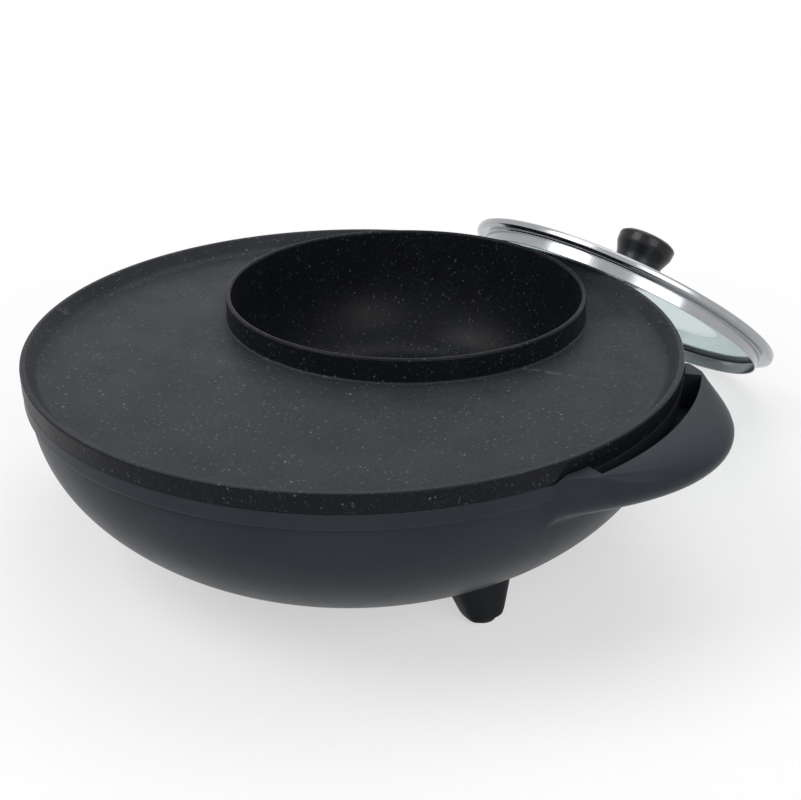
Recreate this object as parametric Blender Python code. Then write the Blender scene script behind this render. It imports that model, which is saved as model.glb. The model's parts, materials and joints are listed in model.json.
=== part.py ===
"""Electric grill with a hot pot: a round plate with a pot well, its housing, heaters, controls and glass lid.

Metres, +Z up. The origin is the centre of the bottom cover's flat underside. +X points at the grip and +Y at
the pot well. The lid leans on the plate's rim.
"""
import math

import bmesh
import bpy
from mathutils import Matrix, Vector

# Driving dimensions
PLATE_RADIUS = 0.2000
RIM_TOP = 0.1170
POT_OFFSET = 0.0700
POT_RADIUS = 0.1180
POT_RISE = 0.0060
POT_DEPTH = 0.0870
GROUND_DROP = 0.0140
LID_RADIUS = 0.1225

# Clearances
SEAT_GAP = 0.0003
RUNNING_GAP = 0.0004
CUT_OVERRUN = 0.0040

# Cooking plate
PLATE_WALL_HEIGHT = 0.0114
PLATE_WALL = 0.0032
PLATE_FLOOR_DROP = 0.0096
PLATE_FLOOR_THICKNESS = 0.0038
PLATE_RIM_RUN = 0.0070
RIM_LIP_ROUND = 0.0012
RIM_FILLET = 0.0040

# Pot well
POT_WALL = 0.0034
POT_FLOOR_THICKNESS = 0.0040
POT_FLOOR_RADIUS = 0.0780

# Housing bowl
HOUSING_BAND_HEIGHT = 0.0100
HOUSING_BAND_STEP = 0.0008
HOUSING_BAND_INSET = 0.0003
BOWL_INSET = 0.0030
BOWL_BASE_RADIUS = 0.1192
BOWL_RIM_BEND_SHARE = 1.67
BOWL_BASE_BEND_SHARE = 0.946
HOUSING_WALL = 0.0026
LEDGE_DROP = 0.0170
LEDGE_WIDTH = 0.0090
LEDGE_HEIGHT = 0.0030

# Bottom cover
COVER_RADIUS = 0.1070
COVER_THICKNESS = 0.0040
COVER_LEDGE_WIDTH = 0.0090
COVER_LEDGE_HEIGHT = 0.0040
COVER_SCREW_COUNT = 3
COVER_SCREW_REACH = 0.0075
COVER_SCREW_INSET = 0.0040
COVER_SCREW_AZIMUTH = math.radians(84.0)

# Side grip
GRIP_AZIMUTH = math.radians(-5.0)
GRIP_HALF_ANGLE = math.radians(28.0)
GRIP_REACH = 0.0455
GRIP_ROOT = 0.0300
GRIP_TOP_DROP = 0.0080
GRIP_CROWN_HEIGHT = 0.0095
GRIP_TUCK_HEIGHT = 0.0200
GRIP_SHOULDER_REACH = 0.0185
GRIP_SHOULDER_BEND_SHARE = 0.25
GRIP_SLOT_GAP = 0.0105
GRIP_SLOT_DEPTH = 0.0225
GRIP_SLOT_HALF_ANGLE = math.radians(19.5)
GRIP_END_INSET = 0.0035
PLATE_GAP = 0.0008

# Feet, pads and their screws
FOOT_AZIMUTHS = {"front_right": -29.0, "back_right": 29.0, "back_left": 151.0, "front_left": 209.0}
FOOT_TOP_CENTRE = 0.1255
FOOT_BOTTOM_CENTRE = 0.1365
FOOT_TOP_SIZE = (0.0370, 0.0475)
FOOT_BOTTOM_SIZE = (0.0190, 0.0235)
FOOT_TOP = 0.0240
FOOT_SOLE_LIFT = 0.0024
FOOT_LEVEL_SHARES = (0.0, 0.1, 0.5, 0.8)
FOOT_SOLE_TAPER_SHARE = 1.09
FOOT_CORNER_SHARE = 0.6
PAD_RADIUS = 0.0082
PAD_RECESS = 0.0008
SCREW_RADIUS = 0.0019
SCREW_HEAD_RADIUS = 0.0036
SCREW_HEAD_HEIGHT = 0.0022
SCREW_CROWN_SHARE = 0.7
SCREW_SIDE_SHARE = 0.4
FOOT_SCREW_REACH = 0.0200
FOOT_BOSS_RADIUS = 0.0062
FOOT_BOSS_TOP = 0.0240

# Heat shield
SHIELD_SHEET = 0.0008
SHIELD_POT_GAP = 0.0016
SHIELD_CUP_RADIUS = 0.0660
SHIELD_EDGE_GAP = 0.0012
SHIELD_FLOOR_DROP = 0.0118

# Heaters and their clips
HEATER_RADIUS = 0.0035
GRILL_HEATER_RIM_SPACE = 0.0350
GRILL_HEATER_POT_INSET = 0.0230
GRILL_HEATER_START = math.radians(-168.0)
GRILL_HEATER_END = math.radians(-14.0)
POT_HEATER_RADIUS = 0.0560
POT_HEATER_OPENING = math.radians(40.0)
CLIP_SIZE = (0.0120, 0.0080)
CLIP_AZIMUTHS = (-150.0, -90.0, -30.0)
POT_CLIP_AZIMUTHS = (0.0, 120.0, 240.0)

# Control panel, dials and thermostats
PANEL_HEIGHT = 0.0560
PANEL_HEIGHT_CENTRE = 0.0530
PANEL_WIDTH = 0.1180
PANEL_THICKNESS = 0.0030
PANEL_SETBACK = 0.0040
PANEL_FRAME = 0.0035
PANEL_FRAME_DEPTH = 0.0500
PANEL_LIP = 0.0060
PANEL_LIP_DEPTH = 0.0120
DIAL_SPACING = 0.0600
DIAL_RADIUS = 0.0170
DIAL_LENGTH = 0.0150
DIAL_GRIP_WIDTH = 0.0060
DIAL_GRIP_DEPTH = 0.0040
DIAL_GRIP_REACH_SHARE = 1.8
DIAL_SIDE_SHARE = 0.8
DIAL_CROWN_SHARE = 0.92
SHAFT_RADIUS = 0.0030
SHAFT_LENGTH = 0.0180
SHAFT_BORE_DEPTH = 0.0100
THERMOSTAT_SIZE = (0.0240, 0.0320, 0.0300)
LAMP_RADIUS = 0.0026
LAMP_LENGTH = 0.0070
LAMP_HEAD = 0.0010
LAMP_RISE = 0.0160
LAMP_SPACING = 0.0140
PANEL_SCREW_INSET = 0.0030
PANEL_SCREW_LENGTH = 0.0080
SENSOR_TUBE = 0.0011
SENSOR_BULB = 0.0024
GRILL_SENSOR_ROUTE = ((-0.1540, -0.0480, 0.0640), (-0.1340, -0.0700, 0.0760))
GRILL_SENSOR_BULB = ((-0.1180, -0.0900), (-0.0900, -0.1140))
POT_SENSOR_ROUTE = ((-0.1480, 0.0080, 0.0340), (-0.1040, -0.0180, 0.0150), (-0.0600, -0.0040, 0.0150))
POT_SENSOR_BULB = ((-0.0360, 0.0220), (-0.0080, 0.0300))

# Supply parts
INLET_AZIMUTH = math.radians(150.0)
INLET_HEIGHT_CENTRE = 0.0560
INLET_SIZE = (0.0260, 0.0300, 0.0240)
INLET_FLANGE = (0.0030, 0.0420, 0.0300)
INLET_MOUTH = (0.0200, 0.0240, 0.0170)
INLET_SETBACK = 0.0120
INLET_BOSS_WALL = 0.0030
INLET_BOSS_DEPTH = 0.0300
PIN_SPACING = 0.0070
PIN_SIZE = (0.0260, 0.0020, 0.0040)
PIN_MOUTH_INSET = 0.0040
BLOCK_SIZE = (0.0200, 0.0420, 0.0140)
BLOCK_PLACE = (-0.0720, 0.0300)
LEAD_RADIUS = 0.0012
LEAD_STRAIGHT = 0.0050
LEAD_FALL_SHARE = 0.6
LEAD_FALL_RUN_SHARE = 6.0
LEAD_FAN_SHARE = 1.5
LEAD_NAMES = ("earth_lead", "live_lead", "neutral_lead")
FUSE_RADIUS = 0.0030
FUSE_LENGTH = 0.0160
FUSE_PLACE = (-0.0200, -0.1400)

# Lid
LID_FLANGE_RUN = 0.0087
LID_FLANGE_HEIGHT = 0.0094
LID_SHEET = 0.0010
LID_BEAD = 0.0022
LID_LAND = 0.0120
LID_GLASS = 0.0035
LID_SCREW_HOLE = 0.0032
LID_DOME = 0.0140
LID_BEARING = math.radians(71.7)
LID_SLOPE = math.radians(52.2)
LID_REACH = 0.0711
LID_STAND_GAP = 0.0002
KNOB_HEIGHT = 0.0340
KNOB_TOP_RADIUS = 0.0225
KNOB_WAIST_RADIUS = 0.0178
KNOB_BASE_RADIUS = 0.0200
KNOB_BORE_DEPTH = 0.0160
KNOB_CROWN_SHARES = ((0.6, 0.03), (0.9, 0.10), (1.0, 0.20), (0.98, 0.32))
KNOB_WAIST_SHARES = ((1.04, 0.55), (1.0, 0.75))
KNOB_WASHER_RADIUS = 0.0090
KNOB_WASHER = 0.0014
VENT_OFFSET = 0.0620
VENT_RADIUS = 0.0050
VENT_NECK = 0.0034
VENT_BORE = 0.0016
VENT_RISE = 0.0012

# Facet counts
ROUND_FINE = 60
ROUND_POT = 44
ROUND_SHIELD = 30
ROUND_SMALL = 12
ROUND_KNOB = 24
ROUND_PAD = 20

FLOOR_TOP = RIM_TOP - PLATE_FLOOR_DROP
FLOOR_UNDER = FLOOR_TOP - PLATE_FLOOR_THICKNESS
WALL_FOOT = RIM_TOP - PLATE_WALL_HEIGHT
POT_LIP_TOP = RIM_TOP + POT_RISE
POT_FLOOR = POT_LIP_TOP - POT_DEPTH
POT_UNDER = POT_FLOOR - POT_FLOOR_THICKNESS
HOUSING_TOP = WALL_FOOT - SEAT_GAP
BAND_FOOT = HOUSING_TOP - HOUSING_BAND_HEIGHT
BAND_RADIUS = PLATE_RADIUS - HOUSING_BAND_INSET
BOWL_RADIUS = PLATE_RADIUS - BOWL_INSET
LEDGE_TOP = HOUSING_TOP - LEDGE_DROP
SHIELD_UNDER = LEDGE_TOP + SEAT_GAP
SHIELD_TOP = SHIELD_UNDER + SHIELD_SHEET
SHIELD_FLOOR = POT_UNDER - SHIELD_FLOOR_DROP
GROUND = -GROUND_DROP
GRILL_HEATER_OUTER = PLATE_RADIUS - GRILL_HEATER_RIM_SPACE
GRILL_HEATER_INNER = POT_RADIUS - GRILL_HEATER_POT_INSET
PANEL_FACE = PLATE_RADIUS - PANEL_SETBACK
INLET_FACE = PLATE_RADIUS - INLET_SETBACK
LID_SKIRT_RADIUS = LID_RADIUS - LID_FLANGE_RUN


def material(name, colour, roughness, metallic=0.0, alpha=1.0):
    """One Principled material."""
    mat = bpy.data.materials.new(name)
    mat.use_nodes = True
    shader = mat.node_tree.nodes["Principled BSDF"]
    shader.inputs["Base Color"].default_value = (*colour, 1.0)
    shader.inputs["Roughness"].default_value = roughness
    shader.inputs["Metallic"].default_value = metallic
    shader.inputs["Alpha"].default_value = alpha
    return mat


def finish(mesh, name, mat, crease=35.0):
    """Wrap a bmesh as a named object with outward faces and its material."""
    bmesh.ops.recalc_face_normals(mesh, faces=mesh.faces)
    data = bpy.data.meshes.new(name)
    mesh.to_mesh(data)
    mesh.free()
    data.shade_smooth()
    data.set_sharp_from_angle(angle=math.radians(crease))
    obj = bpy.data.objects.new(name, data)
    bpy.context.collection.objects.link(obj)
    if mat is not None:
        data.materials.append(mat)
    return obj


def lathe(name, outline, mat, count=ROUND_FINE, centre=(0.0, 0.0)):
    """Turn a closed outline of (radius, height) points about a vertical axis."""
    mesh = bmesh.new()
    rings = []
    for radius, height in outline:
        if radius <= 0.0:
            rings.append([mesh.verts.new((centre[0], centre[1], height))])
            continue
        ring = []
        for step in range(count):
            angle = math.tau * (step + 0.5) / count
            place = (centre[0] + radius * math.cos(angle), centre[1] + radius * math.sin(angle), height)
            ring.append(mesh.verts.new(place))
        rings.append(ring)
    for first, second in zip(rings, rings[1:] + rings[:1]):
        join_rings(mesh, first, second, count)
    return finish(mesh, name, mat)


def join_rings(mesh, first, second, count):
    """Faces between two rings, either of which may be a single point."""
    if len(first) == 1 and len(second) == 1:
        return
    for step in range(count):
        after = (step + 1) % count
        if len(first) == 1:
            mesh.faces.new((first[0], second[step], second[after]))
        elif len(second) == 1:
            mesh.faces.new((first[step], second[0], first[after]))
        else:
            mesh.faces.new((first[step], second[step], second[after], first[after]))


def loft(name, levels, mat):
    """Close a stack of outlines, each a list of 3D points with the same count."""
    mesh = bmesh.new()
    rings = [[mesh.verts.new(point) for point in level] for level in levels]
    count = len(rings[0])
    for first, second in zip(rings, rings[1:]):
        join_rings(mesh, first, second, count)
    mesh.faces.new(rings[0])
    mesh.faces.new(rings[-1])
    return finish(mesh, name, mat)


def block(name, size, mat, place=(0.0, 0.0, 0.0), turn=0.0, bevel=0.0):
    """A box about its centre, turned about Z, with its edges broken."""
    mesh = bmesh.new()
    bmesh.ops.create_cube(mesh, size=1.0, matrix=Matrix.Diagonal((*size, 1.0)))
    if bevel > 0.0:
        bmesh.ops.bevel(mesh, geom=mesh.edges[:], offset=bevel, segments=1, affect="EDGES")
    obj = finish(mesh, name, mat)
    obj.location = place
    obj.rotation_euler = (0.0, 0.0, turn)
    return obj


def rod(name, radius, start, end, mat, count=ROUND_SMALL):
    """A cylinder between two points."""
    return rods(name, [(radius, start, end)], mat, count)


def rods(name, shapes, mat, count=ROUND_SMALL):
    """Cylinders in one object, each given as its radius, start and end."""
    mesh = bmesh.new()
    for radius, start, end in shapes:
        start = Vector(start)
        end = Vector(end)
        axis = end - start
        frame = Matrix.Translation((start + end) / 2) @ axis.to_track_quat("Z", "Y").to_matrix().to_4x4()
        bmesh.ops.create_cone(mesh, cap_ends=True, segments=count, radius1=radius, radius2=radius,
                              depth=axis.length, matrix=frame)
    return finish(mesh, name, mat)


def wire(name, points, radius, mat, sides=2):
    """A round tube along a list of points, with filled ends."""
    curve = bpy.data.curves.new(name, "CURVE")
    curve.dimensions = "3D"
    curve.bevel_depth = radius
    curve.bevel_resolution = sides
    curve.use_fill_caps = True
    spline = curve.splines.new("POLY")
    spline.points.add(len(points) - 1)
    for point, place in zip(spline.points, points):
        point.co = (*place, 1.0)
    curve.materials.append(mat)
    obj = bpy.data.objects.new(name, curve)
    bpy.context.collection.objects.link(obj)
    return obj


def smooth_route(corners, steps=4):
    """Points of a smooth curve through the given corners."""
    corners = [Vector(corner) for corner in corners]
    padded = [2 * corners[0] - corners[1]] + corners + [2 * corners[-1] - corners[-2]]
    route = []
    for before, start, end, after in zip(padded, padded[1:], padded[2:], padded[3:]):
        for step in range(steps):
            t = step / steps
            route.append(0.5 * ((2 * start) + (end - before) * t
                                + (2 * before - 5 * start + 4 * end - after) * t * t
                                + (3 * start - before - 3 * end + after) * t * t * t))
    route.append(corners[-1])
    return route


def boolean(target, tool, operation):
    """Combine a hidden tool with the target."""
    tool.hide_render = True
    tool.display_type = "WIRE"
    step = target.modifiers.new(tool.name, "BOOLEAN")
    step.operation = operation
    step.object = tool
    step.solver = "EXACT"


def cut(target, tool):
    boolean(target, tool, "DIFFERENCE")


def fuse(target, tool):
    boolean(target, tool, "UNION")


def polar(radius, azimuth, height=0.0):
    """A point at a radius and an azimuth in radians."""
    return Vector((radius * math.cos(azimuth), radius * math.sin(azimuth), height))


def pot_centre():
    return (0.0, POT_OFFSET)


def bowl_outline(inset, steps=10):
    """Curve of the housing's bowl from the band's foot to the base, moved into the wall by inset."""
    points = []
    for step in range(steps + 1):
        angle = math.pi / 2 * step / steps
        run = math.cos(angle) ** BOWL_RIM_BEND_SHARE
        fall = math.sin(angle) ** BOWL_BASE_BEND_SHARE
        radius = BOWL_BASE_RADIUS + (BOWL_RADIUS - BOWL_BASE_RADIUS) * run
        points.append((radius, BAND_FOOT * (1.0 - fall)))
    moved = []
    for index, (radius, height) in enumerate(points):
        before = points[max(index - 1, 0)]
        after = points[min(index + 1, steps)]
        along = Vector((after[0] - before[0], after[1] - before[1])).normalized()
        moved.append((radius + along[1] * inset, height - along[0] * inset))
    return moved


def bowl_radius_at(height, inset=0.0):
    """Radius of the bowl's surface at a height."""
    outline = bowl_outline(inset)
    for upper, lower in zip(outline, outline[1:]):
        if lower[1] <= height <= upper[1]:
            share = (height - lower[1]) / (upper[1] - lower[1])
            return lower[0] + (upper[0] - lower[0]) * share
    return outline[-1][0] if height < outline[-1][1] else outline[0][0]


def cooking_plate(mat):
    """Cast plate with its upturned rim, and the pot well that stands through it."""
    inner = PLATE_RADIUS - PLATE_WALL
    foot = inner - PLATE_RIM_RUN
    outline = [
        (0.0, FLOOR_TOP),
        (foot - RIM_FILLET, FLOOR_TOP),
        (foot, FLOOR_TOP + RIM_FILLET / 3),
        (inner - RIM_LIP_ROUND, RIM_TOP - RIM_LIP_ROUND),
        (inner, RIM_TOP),
        (PLATE_RADIUS - RIM_LIP_ROUND, RIM_TOP),
        (PLATE_RADIUS, RIM_TOP - RIM_LIP_ROUND),
        (PLATE_RADIUS, WALL_FOOT),
        (inner, WALL_FOOT),
        (foot, FLOOR_UNDER),
        (0.0, FLOOR_UNDER),
    ]
    plate = lathe("cooking_plate", outline, mat)
    fuse(plate, lathe("pot_shape", pot_outline(0.0, POT_UNDER, POT_LIP_TOP), None, ROUND_POT, pot_centre()))
    cavity = pot_outline(-POT_WALL, POT_FLOOR, POT_LIP_TOP + CUT_OVERRUN)
    cut(plate, lathe("pot_cavity", cavity, None, ROUND_POT, pot_centre()))
    return plate


def pot_outline(offset, floor, top):
    """Solid outline of the pot's body, grown by offset, from its floor to a height."""
    side = POT_RADIUS + offset
    base = POT_FLOOR_RADIUS + offset
    points = [(0.0, top), (side, top)]
    for step in range(9):
        angle = math.pi / 2 * step / 8
        height = FLOOR_UNDER - (FLOOR_UNDER - floor) * math.sin(angle)
        if height < top:
            points.append((base + (side - base) * math.cos(angle), height))
    points.append((0.0, floor))
    return points


def base_housing(mat):
    """Moulded bowl with its band, panel frame, inlet boss and side grip, and the shape of its cavity."""
    solid = [(0.0, HOUSING_TOP), (BAND_RADIUS, HOUSING_TOP), (BAND_RADIUS, BAND_FOOT + HOUSING_BAND_STEP)]
    solid += bowl_outline(0.0) + [(0.0, 0.0)]
    housing = lathe("base_housing", solid, mat)
    fuse(housing, grip_shape())
    fuse(housing, panel_block("panel_frame", PANEL_FRAME, PANEL_FRAME_DEPTH, 0.0, PANEL_FRAME / 2))
    boss_size = (INLET_BOSS_DEPTH, INLET_FLANGE[1] + 2 * INLET_BOSS_WALL, INLET_FLANGE[2] + 2 * INLET_BOSS_WALL)
    fuse(housing, inlet_block("inlet_boss", boss_size, 0.0, None))
    cavity = lathe("housing_cavity", housing_cavity_outline(), None)
    for name, azimuth in FOOT_AZIMUTHS.items():
        place = polar(FOOT_BOTTOM_CENTRE, math.radians(azimuth))
        cut(cavity, rod(f"foot_boss_{name}", FOOT_BOSS_RADIUS, (place.x, place.y, 0.0),
                        (place.x, place.y, FOOT_BOSS_TOP), None))
    well = POT_RADIUS + SHIELD_POT_GAP + SHIELD_SHEET + 2 * RUNNING_GAP
    fuse(cavity, rod("ledge_notch", well, (0.0, POT_OFFSET, LEDGE_TOP - LEDGE_HEIGHT - SEAT_GAP),
                     (0.0, POT_OFFSET, LEDGE_TOP + SEAT_GAP), None, ROUND_POT))
    cut(cavity, panel_block("panel_back", PANEL_FRAME, PANEL_LIP_DEPTH, 0.0))
    cut(cavity, inlet_block("inlet_back", boss_size, 0.0, None))
    return housing, cavity


def panel_block(name, grow, depth, start, bevel=0.0):
    """Block of the panel's outline, grown all round, from start behind its face to a depth."""
    size = (depth, PANEL_WIDTH + 2 * grow, PANEL_HEIGHT + 2 * grow)
    return block(name, size, None, (start - PANEL_FACE + depth / 2, 0.0, PANEL_HEIGHT_CENTRE), bevel=bevel)


def inlet_place(depth):
    """A point on the inlet's axis, at a depth behind its face."""
    return polar(INLET_FACE - depth, INLET_AZIMUTH, INLET_HEIGHT_CENTRE)


def inlet_block(name, size, start, mat, side=0.0):
    """Block on the inlet's axis from start behind its face, moved sideways."""
    place = inlet_place(start + size[0] / 2) + polar(side, INLET_AZIMUTH + math.pi / 2)
    return block(name, size, mat, place, INLET_AZIMUTH)


def housing_cavity_outline():
    """Everything that is hollow inside the bowl, from its top down through the cover's opening."""
    inner = bowl_outline(HOUSING_WALL)
    top = HOUSING_TOP + CUT_OVERRUN
    throat = BAND_RADIUS - PLATE_WALL
    ledge_foot = LEDGE_TOP - LEDGE_HEIGHT
    ledge_radius = bowl_radius_at(LEDGE_TOP, HOUSING_WALL) - LEDGE_WIDTH
    seat = COVER_THICKNESS + SEAT_GAP
    shelf = seat + COVER_LEDGE_HEIGHT
    opening = COVER_RADIUS + RUNNING_GAP
    shelf_radius = opening - COVER_LEDGE_WIDTH
    points = [(0.0, top), (throat, top), (throat, LEDGE_TOP), (ledge_radius, LEDGE_TOP)]
    points += [(ledge_radius, ledge_foot), (bowl_radius_at(ledge_foot, HOUSING_WALL), ledge_foot)]
    points += [(radius, height) for radius, height in inner if shelf < height < ledge_foot]
    points += [(bowl_radius_at(shelf, HOUSING_WALL), shelf), (shelf_radius, shelf), (shelf_radius, seat)]
    points += [(opening, seat), (opening, -CUT_OVERRUN), (0.0, -CUT_OVERRUN)]
    return points


def grip_shape():
    """Crescent grip that fairs into the bowl, with a finger slot sunk beside the plate."""
    top = RIM_TOP - GRIP_TOP_DROP
    levels = [grip_level(top, quarter / 5, 0.0) for quarter in range(6)]
    levels += [grip_level(top, 1.0, quarter / 5) for quarter in range(1, 6)]
    grip = loft("grip_shape", levels, None)
    low = top - GRIP_SLOT_DEPTH
    high = top + CUT_OVERRUN
    sector = [Vector((0.0, 0.0, 0.0))]
    for step in range(17):
        angle = GRIP_AZIMUTH + GRIP_SLOT_HALF_ANGLE * (step / 8 - 1)
        sector.append(polar(PLATE_RADIUS + GRIP_SLOT_GAP, angle))
    levels = [[Vector((point.x, point.y, height)) for point in sector] for height in (low, high)]
    cut(grip, loft("grip_slot", levels, None))
    cut(grip, rod("plate_room", PLATE_RADIUS + PLATE_GAP, (0.0, 0.0, HOUSING_TOP - SEAT_GAP),
                  (0.0, 0.0, high), None, ROUND_FINE))
    return grip


def grip_level(top, crown, tuck):
    """Outline of the grip at a share of the way down its crown, then round its tucked-in underside."""
    turn = math.pi / 2 * crown
    fold = math.pi / 2 * tuck
    height = top - GRIP_CROWN_HEIGHT * (1.0 - math.cos(turn)) - GRIP_TUCK_HEIGHT * math.sin(fold)
    root = min(PLATE_RADIUS, bowl_radius_at(height)) - GRIP_END_INSET
    outer = []
    inner = []
    count = 18
    for step in range(count + 1):
        share = 2 * step / count - 1
        bulge = max(0.0, math.cos(math.pi / 2 * share))
        full = root + GRIP_REACH * bulge
        shoulder = PLATE_RADIUS - GRIP_END_INSET + GRIP_SHOULDER_REACH * bulge ** GRIP_SHOULDER_BEND_SHARE
        radius = min(full, shoulder) + max(0.0, full - shoulder) * math.sin(turn)
        radius = root + (radius - root) * math.cos(fold)
        outer.append(polar(radius, GRIP_AZIMUTH + GRIP_HALF_ANGLE * share, height))
        inner.append(polar(PLATE_RADIUS - GRIP_ROOT, GRIP_AZIMUTH + GRIP_HALF_ANGLE * share, height))
    return outer + inner[::-1]


def foot(name, azimuth, mat, clear):
    """Tapered foot, cut to the bowl it sits under."""
    levels = []
    tapers = [(share, share) for share in FOOT_LEVEL_SHARES] + [(1.0, FOOT_SOLE_TAPER_SHARE)]
    for share, narrow in tapers:
        height = FOOT_TOP + (GROUND + FOOT_SOLE_LIFT - FOOT_TOP) * share
        deep = FOOT_TOP_SIZE[0] + (FOOT_BOTTOM_SIZE[0] - FOOT_TOP_SIZE[0]) * narrow
        wide = FOOT_TOP_SIZE[1] + (FOOT_BOTTOM_SIZE[1] - FOOT_TOP_SIZE[1]) * narrow
        middle = FOOT_TOP_CENTRE + (FOOT_BOTTOM_CENTRE - FOOT_TOP_CENTRE) * share
        ring = []
        for step in range(24):
            angle = math.tau * step / 24
            out = rounded(math.cos(angle)) * deep / 2
            side = rounded(math.sin(angle)) * wide / 2
            local = Vector((middle + out, side, height))
            ring.append(Matrix.Rotation(azimuth, 3, "Z") @ local)
        levels.append(ring)
    part = loft(name, levels, mat)
    cut(part, clear)
    return part


def rounded(turn):
    """Sine or cosine of a turn, pushed out towards a square with soft corners."""
    return math.copysign(abs(turn) ** FOOT_CORNER_SHARE, turn)


def feet(foot_mat, pad_mat, screw_mat):
    """Four feet with their pads and screws; gives back the holes that the screws need."""
    holes = []
    grown = bowl_outline(-SEAT_GAP)
    outline = [(0.0, HOUSING_TOP), (grown[0][0], HOUSING_TOP)] + grown + [(0.0, -SEAT_GAP)]
    clear = lathe("foot_clearance", outline, None)
    for side, degrees in FOOT_AZIMUTHS.items():
        azimuth = math.radians(degrees)
        part = foot(f"foot_{side}", azimuth, foot_mat, clear)
        place = polar(FOOT_BOTTOM_CENTRE, azimuth)
        sole = GROUND + FOOT_SOLE_LIFT
        socket = rod(f"pad_socket_{side}", PAD_RADIUS + SEAT_GAP, (place.x, place.y, sole - CUT_OVERRUN),
                     (place.x, place.y, sole + PAD_RECESS), None, ROUND_PAD)
        cut(part, socket)
        head_seat = sole + PAD_RECESS + SCREW_HEAD_HEIGHT + SEAT_GAP
        head_room = rod(f"head_room_{side}", SCREW_HEAD_RADIUS + RUNNING_GAP, (place.x, place.y, sole),
                        (place.x, place.y, head_seat), None)
        cut(part, head_room)
        hole = (SCREW_RADIUS + RUNNING_GAP, (place.x, place.y, sole),
                (place.x, place.y, FOOT_SCREW_REACH + RUNNING_GAP))
        cut(part, rods(f"foot_screw_hole_{side}", [hole], None))
        holes.append(hole)
        pad_top = sole + PAD_RECESS - SEAT_GAP
        rod(f"foot_pad_{side}", PAD_RADIUS, (place.x, place.y, GROUND), (place.x, place.y, pad_top), pad_mat,
            ROUND_PAD)
        screw(f"foot_screw_{side}", (place.x, place.y, head_seat - SEAT_GAP), (0.0, 0.0, -1.0),
              FOOT_SCREW_REACH - head_seat + SEAT_GAP, screw_mat)
    return holes


def screw(name, seat, away, length, mat, radius=SCREW_RADIUS):
    """Pan-head screw: its head stands off the seat along away, its shank goes the other way."""
    away = Vector(away)
    head = SCREW_HEAD_RADIUS * radius / SCREW_RADIUS
    side = SCREW_HEAD_HEIGHT * SCREW_SIDE_SHARE
    outline = [(0.0, SCREW_HEAD_HEIGHT), (head * SCREW_CROWN_SHARE, SCREW_HEAD_HEIGHT), (head, side),
               (head, 0.0), (radius, 0.0), (radius, -length), (0.0, -length)]
    part = lathe(name, outline, mat, ROUND_SMALL)
    part.data.transform(Matrix.Translation(seat) @ away.to_track_quat("Z", "Y").to_matrix().to_4x4())
    return part


def bottom_cover(mat, screw_mat):
    """Flat round cover that closes the base, with its screws; gives back the holes that they need."""
    holes = []
    heads = []
    outline = [(0.0, COVER_THICKNESS), (COVER_RADIUS, COVER_THICKNESS), (COVER_RADIUS, 0.0), (0.0, 0.0)]
    cover = lathe("bottom_cover", outline, mat, 48)
    for index in range(COVER_SCREW_COUNT):
        azimuth = COVER_SCREW_AZIMUTH + math.tau * index / COVER_SCREW_COUNT
        place = polar(COVER_RADIUS - COVER_SCREW_INSET, azimuth)
        low = (place.x, place.y, -CUT_OVERRUN)
        seat = SCREW_HEAD_HEIGHT + SEAT_GAP
        holes.append((SCREW_RADIUS + RUNNING_GAP, low, (place.x, place.y, COVER_SCREW_REACH)))
        heads.append((SCREW_HEAD_RADIUS + RUNNING_GAP, low, (place.x, place.y, seat + SEAT_GAP)))
        screw(f"cover_screw_{index + 1}", (place.x, place.y, seat), (0.0, 0.0, -1.0),
              COVER_SCREW_REACH - seat - RUNNING_GAP, screw_mat)
    cut(cover, rods("cover_holes", holes, None))
    cut(cover, rods("cover_head_rooms", heads, None))
    return holes


def heat_shield(mat):
    """Steel pan on the housing's ledge, with a well around the pot and a cup for its element."""
    edge = bowl_radius_at(SHIELD_UNDER, HOUSING_WALL) - SHIELD_EDGE_GAP
    disc = [(0.0, SHIELD_TOP), (edge, SHIELD_TOP), (edge, SHIELD_UNDER), (0.0, SHIELD_UNDER)]
    shield = lathe("heat_shield", disc, mat)
    outer = shield_well(SHIELD_POT_GAP + SHIELD_SHEET, SHIELD_SHEET, SHIELD_TOP - SEAT_GAP)
    fuse(shield, lathe("shield_well", outer, None, ROUND_SHIELD, pot_centre()))
    hollow = shield_well(SHIELD_POT_GAP, 0.0, FLOOR_UNDER)
    cut(shield, lathe("shield_hollow", hollow, None, ROUND_SHIELD, pot_centre()))
    return shield


def shield_well(offset, sheet, top):
    """Outline of the well around the pot, with its cup."""
    points = pot_outline(offset, POT_UNDER - offset, top)[:-1]
    floor = SHIELD_FLOOR - sheet
    return points + [(SHIELD_CUP_RADIUS + sheet, floor), (0.0, floor)]


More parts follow.
